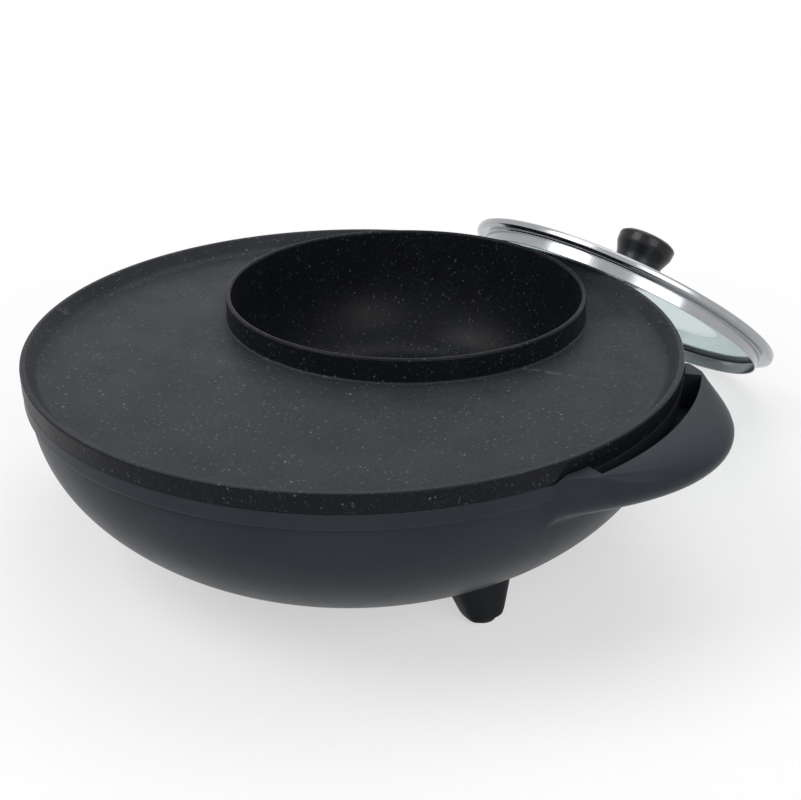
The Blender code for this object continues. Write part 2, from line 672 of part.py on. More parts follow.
def grill_heater(mat, clip_mat):
    """Hairpin element under the open part of the plate, on three clips."""
    height = FLOOR_UNDER - SEAT_GAP - HEATER_RADIUS
    points = []
    for step in range(17):
        angle = GRILL_HEATER_START + (GRILL_HEATER_END - GRILL_HEATER_START) * step / 16
        points.append(polar(GRILL_HEATER_OUTER, angle, height))
    middle = (GRILL_HEATER_OUTER + GRILL_HEATER_INNER) / 2
    half = (GRILL_HEATER_OUTER - GRILL_HEATER_INNER) / 2
    hub = polar(middle, GRILL_HEATER_END, height)
    for step in range(1, 6):
        angle = math.pi * step / 6
        outward = polar(half * math.cos(angle), GRILL_HEATER_END)
        along = polar(half * math.sin(angle), GRILL_HEATER_END + math.pi / 2)
        points.append(hub + outward + along)
    for step in range(13):
        angle = GRILL_HEATER_END + (GRILL_HEATER_START - GRILL_HEATER_END) * step / 12
        points.append(polar(GRILL_HEATER_INNER, angle, height))
    wire("grill_heater", points, HEATER_RADIUS, mat)
    for index, degrees in enumerate(CLIP_AZIMUTHS):
        clip(f"grill_heater_clip_{index + 1}", polar(GRILL_HEATER_OUTER, math.radians(degrees)), SHIELD_TOP,
             height, math.radians(degrees), clip_mat)


def pot_heater(mat, clip_mat):
    """Open ring element under the pot's floor, on three clips."""
    height = POT_UNDER - SEAT_GAP - HEATER_RADIUS
    centre = Vector((*pot_centre(), 0.0))
    points = []
    for step in range(25):
        angle = math.radians(180.0) + POT_HEATER_OPENING / 2 + (math.tau - POT_HEATER_OPENING) * step / 24
        points.append(centre + polar(POT_HEATER_RADIUS, angle, height))
    wire("pot_heater", points, HEATER_RADIUS, mat)
    for index, degrees in enumerate(POT_CLIP_AZIMUTHS):
        place = centre + polar(POT_HEATER_RADIUS, math.radians(degrees))
        clip(f"pot_heater_clip_{index + 1}", place, SHIELD_FLOOR, height, math.radians(degrees), clip_mat)


def clip(name, place, floor, tube_height, turn, mat):
    """Saddle between the shield and an element."""
    low = floor + SEAT_GAP
    high = tube_height - HEATER_RADIUS - SEAT_GAP
    size = (*CLIP_SIZE, high - low)
    return block(name, size, mat, (place.x, place.y, (low + high) / 2), turn)


def controls(mats, housing):
    """Control panel on the side away from the grip, with what each element needs, and its screw holes."""
    holes = []
    cut(housing, panel_block("panel_pocket", SEAT_GAP, CUT_OVERRUN + PANEL_THICKNESS + SEAT_GAP, -CUT_OVERRUN))
    cut(housing, panel_block("panel_opening", -PANEL_LIP, PANEL_FRAME_DEPTH + CUT_OVERRUN, 0.0))
    size = (PANEL_THICKNESS, PANEL_WIDTH, PANEL_HEIGHT)
    place = (PANEL_THICKNESS / 2 - PANEL_FACE, 0.0, PANEL_HEIGHT_CENTRE)
    panel = block("control_panel", size, mats["panel"], place, bevel=SEAT_GAP)
    for index, side in enumerate((-1, 1)):
        across = side * (PANEL_WIDTH / 2 - PANEL_SCREW_INSET - SEAT_GAP)
        holes.append((SCREW_RADIUS + RUNNING_GAP, (-PANEL_FACE - CUT_OVERRUN, across, PANEL_HEIGHT_CENTRE),
                      (PANEL_SCREW_LENGTH + RUNNING_GAP - PANEL_FACE, across, PANEL_HEIGHT_CENTRE)))
        screw(f"panel_screw_{index + 1}", (-PANEL_FACE - SEAT_GAP, across, PANEL_HEIGHT_CENTRE), (-1.0, 0.0, 0.0),
              PANEL_SCREW_LENGTH, mats["screw"])
    cut(panel, rods("panel_screw_holes", holes, None))
    for index, element in enumerate(("grill", "pot")):
        dial_set(element, DIAL_SPACING * (index - 0.5), mats, panel)
        lamp(element, LAMP_SPACING * (index - 0.5), mats["lamp"], panel)
    return holes


def dial_set(element, side, mats, panel):
    """Thermostat, shaft and dial for one element."""
    face = -PANEL_FACE
    height = PANEL_HEIGHT_CENTRE
    neck_end = face + PANEL_THICKNESS + SEAT_GAP
    bore_end = neck_end + SHAFT_BORE_DEPTH
    hole = rod(f"{element}_shaft_hole", SHAFT_RADIUS + RUNNING_GAP, (face - CUT_OVERRUN, side, height),
               (bore_end, side, height), None)
    cut(panel, hole)
    body_centre = (neck_end + THERMOSTAT_SIZE[0] / 2, side, height)
    body = block(f"{element}_thermostat", THERMOSTAT_SIZE, mats["thermostat"], body_centre, bevel=SEAT_GAP)
    cut(body, hole)
    shaft_start = face - SHAFT_LENGTH / 2
    shaft = rod(f"{element}_dial_shaft", SHAFT_RADIUS, (shaft_start, side, height),
                (bore_end - SEAT_GAP, side, height), mats["steel"])
    knob = dial(f"{element}_dial", (face - RUNNING_GAP, side, height), shaft_start, mats["dial"])
    for part in (shaft, knob):
        pivot(part, (face, side, height))


def pivot(part, place):
    """Move a part's origin to a point of its turning axis."""
    part.data.transform(Matrix.Translation(-Vector(place)))
    part.location = place


def lamp(element, side, mat, panel):
    """Lamp lens with a head that stands on the panel."""
    height = PANEL_HEIGHT_CENTRE + LAMP_RISE
    face = -PANEL_FACE
    hole = rod(f"{element}_lamp_hole", LAMP_RADIUS + SEAT_GAP, (face - CUT_OVERRUN, side, height),
               (face + PANEL_THICKNESS + CUT_OVERRUN, side, height), None)
    cut(panel, hole)
    outline = [(0.0, LAMP_HEAD), (LAMP_RADIUS, LAMP_HEAD), (LAMP_RADIUS + LAMP_HEAD, 0.0), (LAMP_RADIUS, 0.0),
               (LAMP_RADIUS, -LAMP_LENGTH), (0.0, -LAMP_LENGTH)]
    lens = lathe(f"{element}_lamp_lens", outline, mat, ROUND_SMALL)
    lens.data.transform(outward((face - SEAT_GAP, side, height)))


def outward(place):
    """Frame at a point of the panel whose +Z looks out of it."""
    return Matrix.Translation(place) @ Vector((-1.0, 0.0, 0.0)).to_track_quat("Z", "Y").to_matrix().to_4x4()


def dial(name, place, shaft_start, mat):
    """Round dial with a raised finger bar, bored for its shaft."""
    face, side, height = place
    body = DIAL_LENGTH - DIAL_GRIP_DEPTH
    outline = [(0.0, 0.0), (DIAL_RADIUS, 0.0), (DIAL_RADIUS, body * DIAL_SIDE_SHARE),
               (DIAL_RADIUS * DIAL_CROWN_SHARE, body), (0.0, body)]
    part = lathe(name, outline, mat, ROUND_KNOB)
    bar = bmesh.new()
    size = (DIAL_GRIP_WIDTH, DIAL_RADIUS * DIAL_GRIP_REACH_SHARE, DIAL_LENGTH - body / 2)
    bmesh.ops.create_cube(bar, size=1.0, matrix=Matrix.Translation((0.0, 0.0, DIAL_LENGTH - size[2] / 2))
                          @ Matrix.Diagonal((*size, 1.0)))
    bar = finish(bar, f"{name}_bar", None)
    out = outward(place)
    part.data.transform(out)
    bar.data.transform(out)
    fuse(part, bar)
    cut(part, rod(f"{name}_bore", SHAFT_RADIUS + SEAT_GAP, (face + CUT_OVERRUN, side, height),
                  (shaft_start - SEAT_GAP, side, height), None))
    return part


def sensors(mats):
    """Capillary sensor of each thermostat: a thin tube that ends in a bulb under the heat shield."""
    start_x = THERMOSTAT_SIZE[0] + PANEL_THICKNESS + 2 * SEAT_GAP - PANEL_FACE
    side = DIAL_SPACING / 2
    under = SHIELD_UNDER - SEAT_GAP - SENSOR_BULB
    cup = SHIELD_FLOOR - SHIELD_SHEET - SEAT_GAP - SENSOR_BULB
    shapes = (("grill_sensor", -side, GRILL_SENSOR_ROUTE, GRILL_SENSOR_BULB, under),
              ("pot_sensor", side, POT_SENSOR_ROUTE, POT_SENSOR_BULB, cup))
    for name, across, corners, bulb, height in shapes:
        start = Vector((start_x, across, PANEL_HEIGHT_CENTRE))
        bulb_start, bulb_end = (Vector((*place, height)) for place in bulb)
        bend = start + Vector((SENSOR_BULB, 0.0, 0.0))
        route = [start] + smooth_route([bend, *corners, bulb_start]) + [bulb_end]
        tube = wire(name, route, SENSOR_TUBE, mats["copper"])
        for point in tube.data.splines[0].points[-2:]:
            point.radius = SENSOR_BULB / SENSOR_TUBE


def supply(mats, housing):
    """Power inlet with its pins, terminal block, leads and thermal fuse."""
    inlet = inlet_block("power_inlet", INLET_SIZE, 0.0, mats["inlet"])
    fuse(inlet, inlet_block("inlet_flange", INLET_FLANGE, 0.0, None))
    mouth = (INLET_MOUTH[0] + CUT_OVERRUN, *INLET_MOUTH[1:])
    cut(inlet, inlet_block("inlet_mouth", mouth, -CUT_OVERRUN, None))
    grown = 2 * SEAT_GAP
    flange_room = (INLET_FLANGE[0] + SEAT_GAP + CUT_OVERRUN, INLET_FLANGE[1] + grown, INLET_FLANGE[2] + grown)
    body_room = (INLET_BOSS_DEPTH + CUT_OVERRUN, INLET_SIZE[1] + grown, INLET_SIZE[2] + grown)
    cut(housing, inlet_block("inlet_flange_room", flange_room, -CUT_OVERRUN, None))
    cut(housing, inlet_block("inlet_body_room", body_room, 0.0, None))
    block_centre = (*BLOCK_PLACE, COVER_THICKNESS + SEAT_GAP + BLOCK_SIZE[2] / 2)
    block("terminal_block", BLOCK_SIZE, mats["ceramic"], block_centre, bevel=SEAT_GAP)
    for index, name in enumerate(LEAD_NAMES):
        side = PIN_SPACING * (index - 1)
        room = (PIN_SIZE[0], PIN_SIZE[1] + grown, PIN_SIZE[2] + grown)
        cut(inlet, inlet_block(f"pin_room_{index + 1}", room, PIN_MOUTH_INSET, None, side))
        inlet_block(f"inlet_pin_{index + 1}", PIN_SIZE, PIN_MOUTH_INSET, mats["steel"], side)
        start = inlet_place(PIN_MOUTH_INSET + PIN_SIZE[0] + SEAT_GAP) + polar(side, INLET_AZIMUTH + math.pi / 2)
        lead(name, start, block_centre, side, mats[name])
    fuse_height = SHIELD_UNDER - SEAT_GAP - FUSE_RADIUS
    fuse_x, fuse_y = FUSE_PLACE
    rod("thermal_fuse", FUSE_RADIUS, (fuse_x - FUSE_LENGTH / 2, fuse_y, fuse_height),
        (fuse_x + FUSE_LENGTH / 2, fuse_y, fuse_height), mats["ceramic"])


def lead(name, start, block_centre, side, mat):
    """Supply lead from a pin down to the terminal block."""
    end = Vector(block_centre)
    end.x -= BLOCK_SIZE[0] / 2 + SEAT_GAP
    end.y -= side * LEAD_FAN_SHARE
    inward = polar(-LEAD_STRAIGHT, INLET_AZIMUTH)
    fall = start + LEAD_FALL_RUN_SHARE * inward
    fall.z = INLET_HEIGHT_CENTRE * LEAD_FALL_SHARE
    turn = end - Vector((LEAD_STRAIGHT, 0.0, 0.0))
    wire(name, [start] + smooth_route([start + inward, fall, turn]) + [end], LEAD_RADIUS, mat)


def lid_frame():
    """Place and tilt of the leaning lid: its own +Z points out of the knob."""
    axis = polar(math.cos(LID_SLOPE), LID_BEARING, math.sin(LID_SLOPE))
    along = polar(1.0, LID_BEARING - math.pi / 2)
    height = GROUND + LID_STAND_GAP + LID_SKIRT_RADIUS * math.cos(LID_SLOPE)
    frame = Matrix((along, axis.cross(along), axis)).transposed().to_4x4()
    frame.translation = polar(PLATE_RADIUS + LID_REACH, LID_BEARING, height)
    return frame


def lid(mats):
    """Glass lid with its steel band, knob and vent."""
    glass = lid_glass(mats["glass"])
    parts = [lid_rim(mats["steel"]), glass, lid_knob(mats["knob"])]
    parts += lid_fittings(mats, glass)
    frame = lid_frame()
    for part in parts:
        part.data.transform(frame)


def lid_rim(mat):
    """Band of the lid: a skirt that drops into the pot and a flange that rests on its lip."""
    flange = LID_FLANGE_HEIGHT
    edge = LID_RADIUS - LID_BEAD
    land = LID_RADIUS - LID_LAND
    outline = [
        (LID_SKIRT_RADIUS, 0.0),
        (LID_SKIRT_RADIUS, flange - LID_SHEET),
        (edge, flange - LID_SHEET),
        (LID_RADIUS, flange + LID_SHEET),
        (LID_RADIUS, glass_height(edge) + LID_GLASS),
        (edge, glass_height(edge) + LID_GLASS + SEAT_GAP + LID_SHEET),
        (land, glass_height(land) + LID_GLASS + SEAT_GAP + LID_SHEET),
        (land, glass_height(land) + LID_GLASS + SEAT_GAP),
        (edge, glass_height(edge) + LID_GLASS + SEAT_GAP),
        (edge, flange),
        (LID_SKIRT_RADIUS - LID_SHEET, flange),
        (LID_SKIRT_RADIUS - LID_SHEET, 0.0),
    ]
    return lathe("lid_rim", outline, mat)


def glass_height(radius):
    """Height of the glass's lower face at a radius, in the lid's own frame."""
    edge = LID_RADIUS - LID_BEAD
    return LID_FLANGE_HEIGHT + SEAT_GAP + LID_DOME * (1.0 - (radius / edge) ** 2)


def lid_glass(mat):
    """Shallow glass dome with a hole for the knob's screw."""
    edge = LID_RADIUS - LID_BEAD - SEAT_GAP
    steps = 5
    radii = [LID_SCREW_HOLE + (edge - LID_SCREW_HOLE) * step / steps for step in range(steps + 1)]
    under = [(radius, glass_height(radius)) for radius in radii]
    over = [(radius, glass_height(radius) + LID_GLASS) for radius in reversed(radii)]
    return lathe("lid_glass", under + over, mat)


def lid_knob(mat):
    """Flared knob with a shallow crowned top."""
    foot_height = glass_height(0.0) + LID_GLASS + SEAT_GAP
    top = foot_height + KNOB_HEIGHT
    bore = SCREW_RADIUS + RUNNING_GAP
    outline = [(0.0, top)]
    outline += [(KNOB_TOP_RADIUS * out, top - KNOB_HEIGHT * drop) for out, drop in KNOB_CROWN_SHARES]
    outline += [(KNOB_WAIST_RADIUS * out, top - KNOB_HEIGHT * drop) for out, drop in KNOB_WAIST_SHARES]
    outline += [
        (KNOB_BASE_RADIUS, foot_height),
        (bore, foot_height),
        (bore, foot_height + KNOB_BORE_DEPTH),
        (0.0, foot_height + KNOB_BORE_DEPTH),
    ]
    return lathe("lid_knob", outline, mat, ROUND_KNOB)


def lid_fittings(mats, glass):
    """Washer and screw that hold the knob, and the steam vent."""
    under = glass_height(0.0) - SEAT_GAP
    washer = [(KNOB_WASHER_RADIUS, under), (KNOB_WASHER_RADIUS, under - KNOB_WASHER),
              (LID_SCREW_HOLE, under - KNOB_WASHER), (LID_SCREW_HOLE, under)]
    seat = under - KNOB_WASHER - SEAT_GAP
    length = LID_GLASS + KNOB_WASHER + 3 * SEAT_GAP + KNOB_BORE_DEPTH - RUNNING_GAP
    parts = [lathe("lid_knob_washer", washer, mats["rubber"], ROUND_KNOB),
             screw("lid_knob_screw", (0.0, 0.0, seat), (0.0, 0.0, -1.0), length, mats["screw"])]
    slope = math.atan(2 * LID_DOME * VENT_OFFSET / (LID_RADIUS - LID_BEAD) ** 2)
    base = Matrix.Translation((VENT_OFFSET, 0.0, glass_height(VENT_OFFSET))) @ Matrix.Rotation(slope, 4, "Y")
    hole = rod("vent_hole", VENT_NECK + SEAT_GAP, (0.0, 0.0, -LID_GLASS), (0.0, 0.0, 2 * LID_GLASS), None)
    hole.data.transform(base)
    cut(glass, hole)
    top = LID_GLASS + SEAT_GAP
    vent = [(VENT_RADIUS, top), (VENT_RADIUS, top + VENT_RISE / 2), (VENT_NECK, top + VENT_RISE),
            (VENT_BORE, top + VENT_RISE), (VENT_BORE, 0.0), (VENT_NECK, 0.0), (VENT_NECK, top)]
    grommet = lathe("lid_vent", vent, mats["steel"], ROUND_SMALL)
    grommet.data.transform(base)
    return parts + [grommet, hole]


def build():
    for obj in list(bpy.data.objects):
        bpy.data.objects.remove(obj, do_unlink=True)
    mats = {
        "plate": material("stone_coating", (0.045, 0.048, 0.052), 0.5),
        "housing": material("slate_plastic", (0.035, 0.040, 0.047), 0.42),
        "foot": material("foot_plastic", (0.018, 0.019, 0.021), 0.5),
        "pad": material("pad_rubber", (0.03, 0.03, 0.03), 0.8),
        "cover": material("cover_plastic", (0.03, 0.03, 0.033), 0.6),
        "screw": material("screw_steel", (0.6, 0.6, 0.62), 0.35, 1.0),
        "shield": material("shield_steel", (0.62, 0.62, 0.62), 0.3, 1.0),
        "heater": material("heater_sheath", (0.32, 0.3, 0.28), 0.45, 1.0),
        "clip": material("clip_steel", (0.55, 0.55, 0.56), 0.4, 1.0),
        "panel": material("panel_plastic", (0.02, 0.02, 0.022), 0.35),
        "dial": material("dial_plastic", (0.022, 0.022, 0.024), 0.3),
        "lamp": material("lamp_plastic", (0.6, 0.05, 0.03), 0.2),
        "thermostat": material("thermostat_body", (0.75, 0.72, 0.66), 0.6),
        "copper": material("sensor_copper", (0.72, 0.38, 0.22), 0.35, 1.0),
        "ceramic": material("white_ceramic", (0.85, 0.84, 0.8), 0.5),
        "inlet": material("inlet_plastic", (0.02, 0.02, 0.02), 0.5),
        "earth_lead": material("earth_lead_sleeve", (0.15, 0.42, 0.08), 0.5),
        "live_lead": material("live_lead_sleeve", (0.25, 0.09, 0.04), 0.5),
        "neutral_lead": material("neutral_lead_sleeve", (0.04, 0.15, 0.5), 0.5),
        "rubber": material("washer_silicone", (0.5, 0.5, 0.5), 0.6),
        "steel": material("polished_steel", (0.78, 0.78, 0.78), 0.12, 1.0),
        "glass": material("lid_glass_clear", (0.8, 0.9, 0.9), 0.03, 0.0, 0.35),
        "knob": material("knob_plastic", (0.012, 0.012, 0.014), 0.15),
    }
    housing, cavity = base_housing(mats["housing"])
    holes = bottom_cover(mats["cover"], mats["screw"])
    holes += feet(mats["foot"], mats["pad"], mats["screw"])
    heat_shield(mats["shield"])
    grill_heater(mats["heater"], mats["clip"])
    pot_heater(mats["heater"], mats["clip"])
    holes += controls(mats, housing)
    sensors(mats)
    supply(mats, housing)
    cut(housing, cavity)
    cut(housing, rods("housing_screw_holes", holes, None))
    cooking_plate(mats["plate"])
    lid(mats)


build()
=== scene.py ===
"""Looks of the electric hot pot grill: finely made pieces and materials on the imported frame, in metres."""
import json
from math import atan, atan2, copysign, cos, hypot, pi, radians, sin, sqrt, tan, tau

import bmesh
import bpy
from mathutils import Matrix, Vector

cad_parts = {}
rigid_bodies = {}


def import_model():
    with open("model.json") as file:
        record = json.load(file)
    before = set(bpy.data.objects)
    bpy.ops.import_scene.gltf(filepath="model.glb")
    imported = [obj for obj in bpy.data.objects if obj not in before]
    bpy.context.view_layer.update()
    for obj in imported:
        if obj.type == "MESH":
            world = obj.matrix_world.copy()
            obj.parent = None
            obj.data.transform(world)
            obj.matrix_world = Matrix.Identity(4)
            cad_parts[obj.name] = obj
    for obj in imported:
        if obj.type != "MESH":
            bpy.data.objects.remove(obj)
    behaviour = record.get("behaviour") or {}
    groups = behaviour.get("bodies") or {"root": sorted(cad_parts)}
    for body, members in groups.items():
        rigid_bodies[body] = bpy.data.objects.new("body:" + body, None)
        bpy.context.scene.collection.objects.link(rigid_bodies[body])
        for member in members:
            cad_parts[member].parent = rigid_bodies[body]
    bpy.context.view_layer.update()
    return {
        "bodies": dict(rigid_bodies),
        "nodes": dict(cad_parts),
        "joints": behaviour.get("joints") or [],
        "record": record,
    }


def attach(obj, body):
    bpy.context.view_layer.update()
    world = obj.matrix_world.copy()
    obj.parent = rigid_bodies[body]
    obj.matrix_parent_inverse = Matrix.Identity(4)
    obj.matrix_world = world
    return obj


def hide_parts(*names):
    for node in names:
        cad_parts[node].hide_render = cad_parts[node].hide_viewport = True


# Clearances and counts
SEAT_GAP = 0.0003
OVERRUN = 0.0040
WELD = 1e-7
KEEN = 1e-5
LEAST_CORNER = 1e-4
FINE = 192
SMALL = 40
DOWN = (0.0, 0.0, -1.0)

# Plate and pot
PLATE_RADIUS = 0.2000
PLATE_SIDES = 288
PLATE_WALL = 0.0032
PLATE_RIM_RUN = 0.0070
RIM_TOP = 0.1170
WALL_FOOT = 0.1056
FLOOR_TOP = 0.1074
FLOOR_UNDER = 0.1036
PLATE_ROUNDS = (0.0, 0.0075, 0.0014, 0.0013, 0.0006, 0.0006, 0.0040, 0.0)
POT_CENTRE = (0.0, 0.0700)
POT_RADIUS = 0.1180
POT_SIDES = 240
POT_WALL = 0.0034
POT_LIP_TOP = 0.1230
POT_LIP_ROUNDS = (0.0, 0.0016, 0.0016, 0.0)
POT_LIP_DEPTHS = (0.0040, 0.0038)
POT_FLOOR = 0.0360
POT_UNDER = 0.0320
POT_FLOOR_RADIUS = 0.0780
POT_OVERLAP = 0.0016
COLLAR_ROUNDS = (0.0, 0.0022, 0.0)
COLLAR_RISE = 0.0050
COLLAR_SPREAD = 0.0040
COLLAR_SINK = 0.0002
COAT_MARGINS = (0.0004, 0.0005)

# Housing
HOUSING_TOP = 0.1053
HOUSING_WALL = 0.0026
HOUSING_EDGE = 0.0006
BAND_FOOT = 0.0953
BAND_RADIUS = 0.1997
BAND_EDGE = 0.0018
BAND_SHADOW = 0.0155
BOWL_RADIUS = 0.1970
BOWL_BASE_RADIUS = 0.1192
BOWL_POWERS = (1.67, 0.946)
RING_GAP = 0.0008
CAVITY_SIDES = 180
LEDGE_TOP = 0.0883
LEDGE_WIDTH = 0.0090
LEDGE_HEIGHT = 0.0030
LEDGE_NOTCH_GAP = 0.0008
PLATE_ROOM = 0.2008
FRAME_CORNER = 0.0050
FRAME_EDGES = (0.0012, 0.0004)

# Grip and its finger slot
GRIP_AZIMUTH = -5.0
GRIP_HALF_ANGLE = 28.0
GRIP_REACH = 0.0455
GRIP_TOP = 0.1090
GRIP_CROWN_HEIGHT = 0.0095
GRIP_TUCK_HEIGHT = 0.0200
GRIP_SHOULDER = 0.0185
GRIP_SHOULDER_POWER = 0.25
GRIP_END_INSET = 0.0035
GRIP_FAIRING = 0.0060
GRIP_FAIRING_DEPTH = 0.0120
GRIP_FAIRING_SHARE = 0.35
GRIP_FADE_SHARE = 0.2
GRIP_LIFT_SHARES = (0.10, 0.24)
GRIP_ROOM_SHARES = (0.02, 0.10)
SLOT_OUTER = 0.2105
SLOT_HALF_ANGLE = 19.5
SLOT_FLOOR = 0.0865
SLOT_SKIN = 0.0018
SLOT_GAP = 0.0002
SLOT_STEP = 0.0020
SLOT_UPPER_HEIGHTS = (0.0985, 0.1050, 0.1125)
SLOT_MARGIN = 0.0010

# Screws
SCREW_RADIUS = 0.0019
SCREW_TIP_SHARE = 0.6
SCREW_HEAD = (0.0036, 0.0022)
HEAD_CROWN_SHARE = 0.62
HEAD_SIDE_SHARE = 0.45
HEAD_DISH = 0.0001
HEAD_ROUNDS = (0.0, 0.0008, 0.0006, 0.0002, 0.0)
HEAD_ROOM = 0.0040
THREAD_PITCH = 0.0007
THREAD_ROOT_SHARE = 0.8
THREAD_RUN_SHARES = (0.2, 0.1)
CROSS_RECESS = (0.0009, 0.0010, 0.0030)
CROSS_SHARE = 1.15
CROSS_CORNER = 0.0002
HOLE_RADIUS = 0.0023
HOLE_SIDES = 20

# Bottom cover
COVER_RADIUS = 0.1070
COVER_GAP = 0.0004
COVER_THICKNESS = 0.0040
COVER_ROUNDS = (0.0, 0.0004, 0.0006, *[0.0004] * 12, 0.0)
COVER_LEDGE = (0.0090, 0.0040)
COVER_RING_RADII = (0.0900, 0.0560, 0.0260)
COVER_RING = (0.0030, 0.0008, 0.0, 0.0009)
COVER_SLOTS = 36
COVER_SLOT = (0.0200, 0.0026, 0.0012)
COVER_SLOT_CIRCLE = 0.0725
COVER_SCREW_AZIMUTHS = (84.0, 204.0, 324.0)
COVER_SCREW_CIRCLE = 0.1030
COVER_SCREW_SEAT = 0.0025
COVER_SCREW_LENGTH = 0.0046
COVER_HOLE_TOPS = (0.0060, 0.0075)

# Feet
FOOT_AZIMUTHS = {"front_right": -29.0, "back_right": 29.0, "back_left": 151.0, "front_left": 209.0}
FOOT_CENTRES = (0.1255, 0.1365)
FOOT_DEPTHS = (0.0370, 0.0190)
FOOT_WIDTHS = (0.0475, 0.0235)
FOOT_TOP = 0.0240
FOOT_POWER = 0.6
FOOT_STRAIGHT_SHARE = 0.875
FOOT_SOLE_SHARE = 0.06
FOOT_BOSS = (0.0062, 0.0240)
FOOT_SCREW_LENGTH = 0.0178
FOOT_HOLE_TOP = 0.0204
FOOT_ROOM_OVERRUN = 0.0010
SOLE = -0.0116
GROUND = -0.0140
PAD_RADIUS = 0.0082
PAD_RECESS = 0.0008
PAD_ROUNDS = (0.0, 0.0003, 0.0006, *[0.0002] * 6, 0.0)
PAD_RING = (0.0055, 0.0007)
PAD_EYE = 0.0030
PAD_DENT = (0.0004, GROUND, 0.0004)

# Heat shield and heaters
SHIELD_SHEET = 0.0008
SHIELD_POT_GAP = 0.0016
SHIELD_UNDER = 0.0886
SHIELD_EDGE_GAP = 0.0012
SHIELD_CUP = 0.0660
SHIELD_FLOOR = 0.0202
SHIELD_ROUNDS = (0.0020, 0.0030, 0.0)
HEATER_RADIUS = 0.0035
GRILL_HEATER_RADII = (0.1650, 0.0950)
GRILL_HEATER_TURNS = (-168.0, -14.0)
POT_HEATER_RADIUS = 0.0560
POT_HEATER_TURNS = (200.0, 520.0)

# Control panel
PANEL_FACE = 0.1960
PANEL_SIZE = (0.1180, 0.0560, 0.0030)
PANEL_HEIGHT = 0.0530
PANEL_FRAME = 0.0035
PANEL_FRAME_DEPTH = 0.0500
PANEL_BACK_DEPTH = 0.0120
PANEL_LIP = 0.0060
PANEL_CORNER = 0.0030
PANEL_CORNERS = (0.0026, 0.0020)
PANEL_EDGE = 0.0005
PANEL_SCREW_SIDE = 0.0557
PANEL_SCREW_LENGTH = 0.0078
PANEL_HOLE_DEPTH = 0.0084
PRINT_LIFT = 0.00002
PRINT_DEPTH = 0.00012
FIGURE_SIZE = 0.0052
FIGURE_DEPTH = 0.00008
FIGURE_WEIGHT = 0.00006
SCALE_RADIUS = 0.0212
SCALE_START = 90.0
SCALE_STEP = 56.0
SCALE_TICK = (0.0013, 0.0003, PRINT_DEPTH, 1.0)
SEAT_RING = (0.0190, 0.0004, 0.0010)
LAMP_RADIUS = 0.0026
LAMP_SIDE = 0.0070
LAMP_HEIGHT = 0.0690
LAMP_STEM = 0.0070
LAMP_CROWN_SHARE = 0.7
LAMP_RIM = (0.0008, 0.0009)
LAMP_RISES = (0.0010, 0.00085, 0.0003)
LAMP_ROUNDS = (0.0, 0.0, 0.0004, 0.0001, 0.0, 0.0003, 0.0)
SIGN_RISE = 0.0062
SIGN_WIDTH = 0.0090
SIGN_BAR = 0.0006
SIGN_BOWL = (0.0036, 0.0024)

# Dials and their shafts
DIAL_SIDE = 0.0300
DIAL_RADIUS = 0.0170
DIAL_LENGTH = 0.0150
DIAL_BODY = 0.0110
DIAL_GAP = 0.0004
DIAL_SIDE_SHARE = 0.55
DIAL_TOP_SHARE = 0.93
DIAL_ROUNDS = (0.0004, 0.0020, 0.0012)
DIAL_SIDES = 144
FLUTES = 24
FLUTE_DEPTH = 0.00035
FLUTE_FADE_SHARE = 0.8
DISH_RADII = (0.0138, 0.0150)
DISH_DEPTH = 0.0006
DISH_RISE = 0.0020
DISH_ROUNDS = (0.0, 0.0012, 0.0, 0.0)
BAR_WIDTH = 0.0058
BAR_LENGTH_SHARE = 1.78
BAR_FOOT_SHARE = 0.6
BAR_CORNER = 0.0026
BAR_EDGE = 0.0009
POINTER_SIZE = (0.0010, 0.0088, 0.00035)
POINTER_PLACE_SHARE = 0.58
POINTER_GROOVE = (0.0012, 0.0090, 0.0012)
POINTER_SINK = 0.00041
GROOVE_SINK = 0.0004
POINTER_CORNERS = (0.0003, 0.0004)
POINTER_EDGE = 0.0001
SHAFT_RADIUS = 0.0030
SHAFT_GAP = 0.0004
SHAFT_ENDS = (-0.0090, 0.0130)
SHAFT_ROUNDS = (0.0, 0.0005, 0.0, 0.0)
SHAFT_FLAT = (0.0080, 0.0020, 0.0100)
BORE_ENDS = (-0.0010, 0.0087)

# Power inlet
INLET_AZIMUTH = 150.0
INLET_HEIGHT = 0.0560
INLET_FACE = 0.1880
INLET_SIZE = (0.0300, 0.0240, 0.0260)
INLET_FLANGE = (0.0420, 0.0300, 0.0030)
INLET_MOUTH = (0.0240, 0.0170, 0.0200)
INLET_CORNERS = (0.0008, 0.0027, 0.0025)
INLET_EDGES = (0.0003, 0.0007)
INLET_ROOM_CORNERS = (0.0030, 0.0010)
INLET_BOSS_WALL = 0.0030
INLET_BOSS_DEPTH = 0.0300
PIN_SPACING = 0.0070
PIN_SIZE = (0.0019, 0.0039, 0.0258)
PIN_FOOT = 0.0299
PIN_ROUND = 0.0006
PIN_ROOM = (0.0026, 0.0046, 0.0320)
PIN_ROOM_FOOT = 0.0310
PIN_ROOM_CORNER = 0.0004

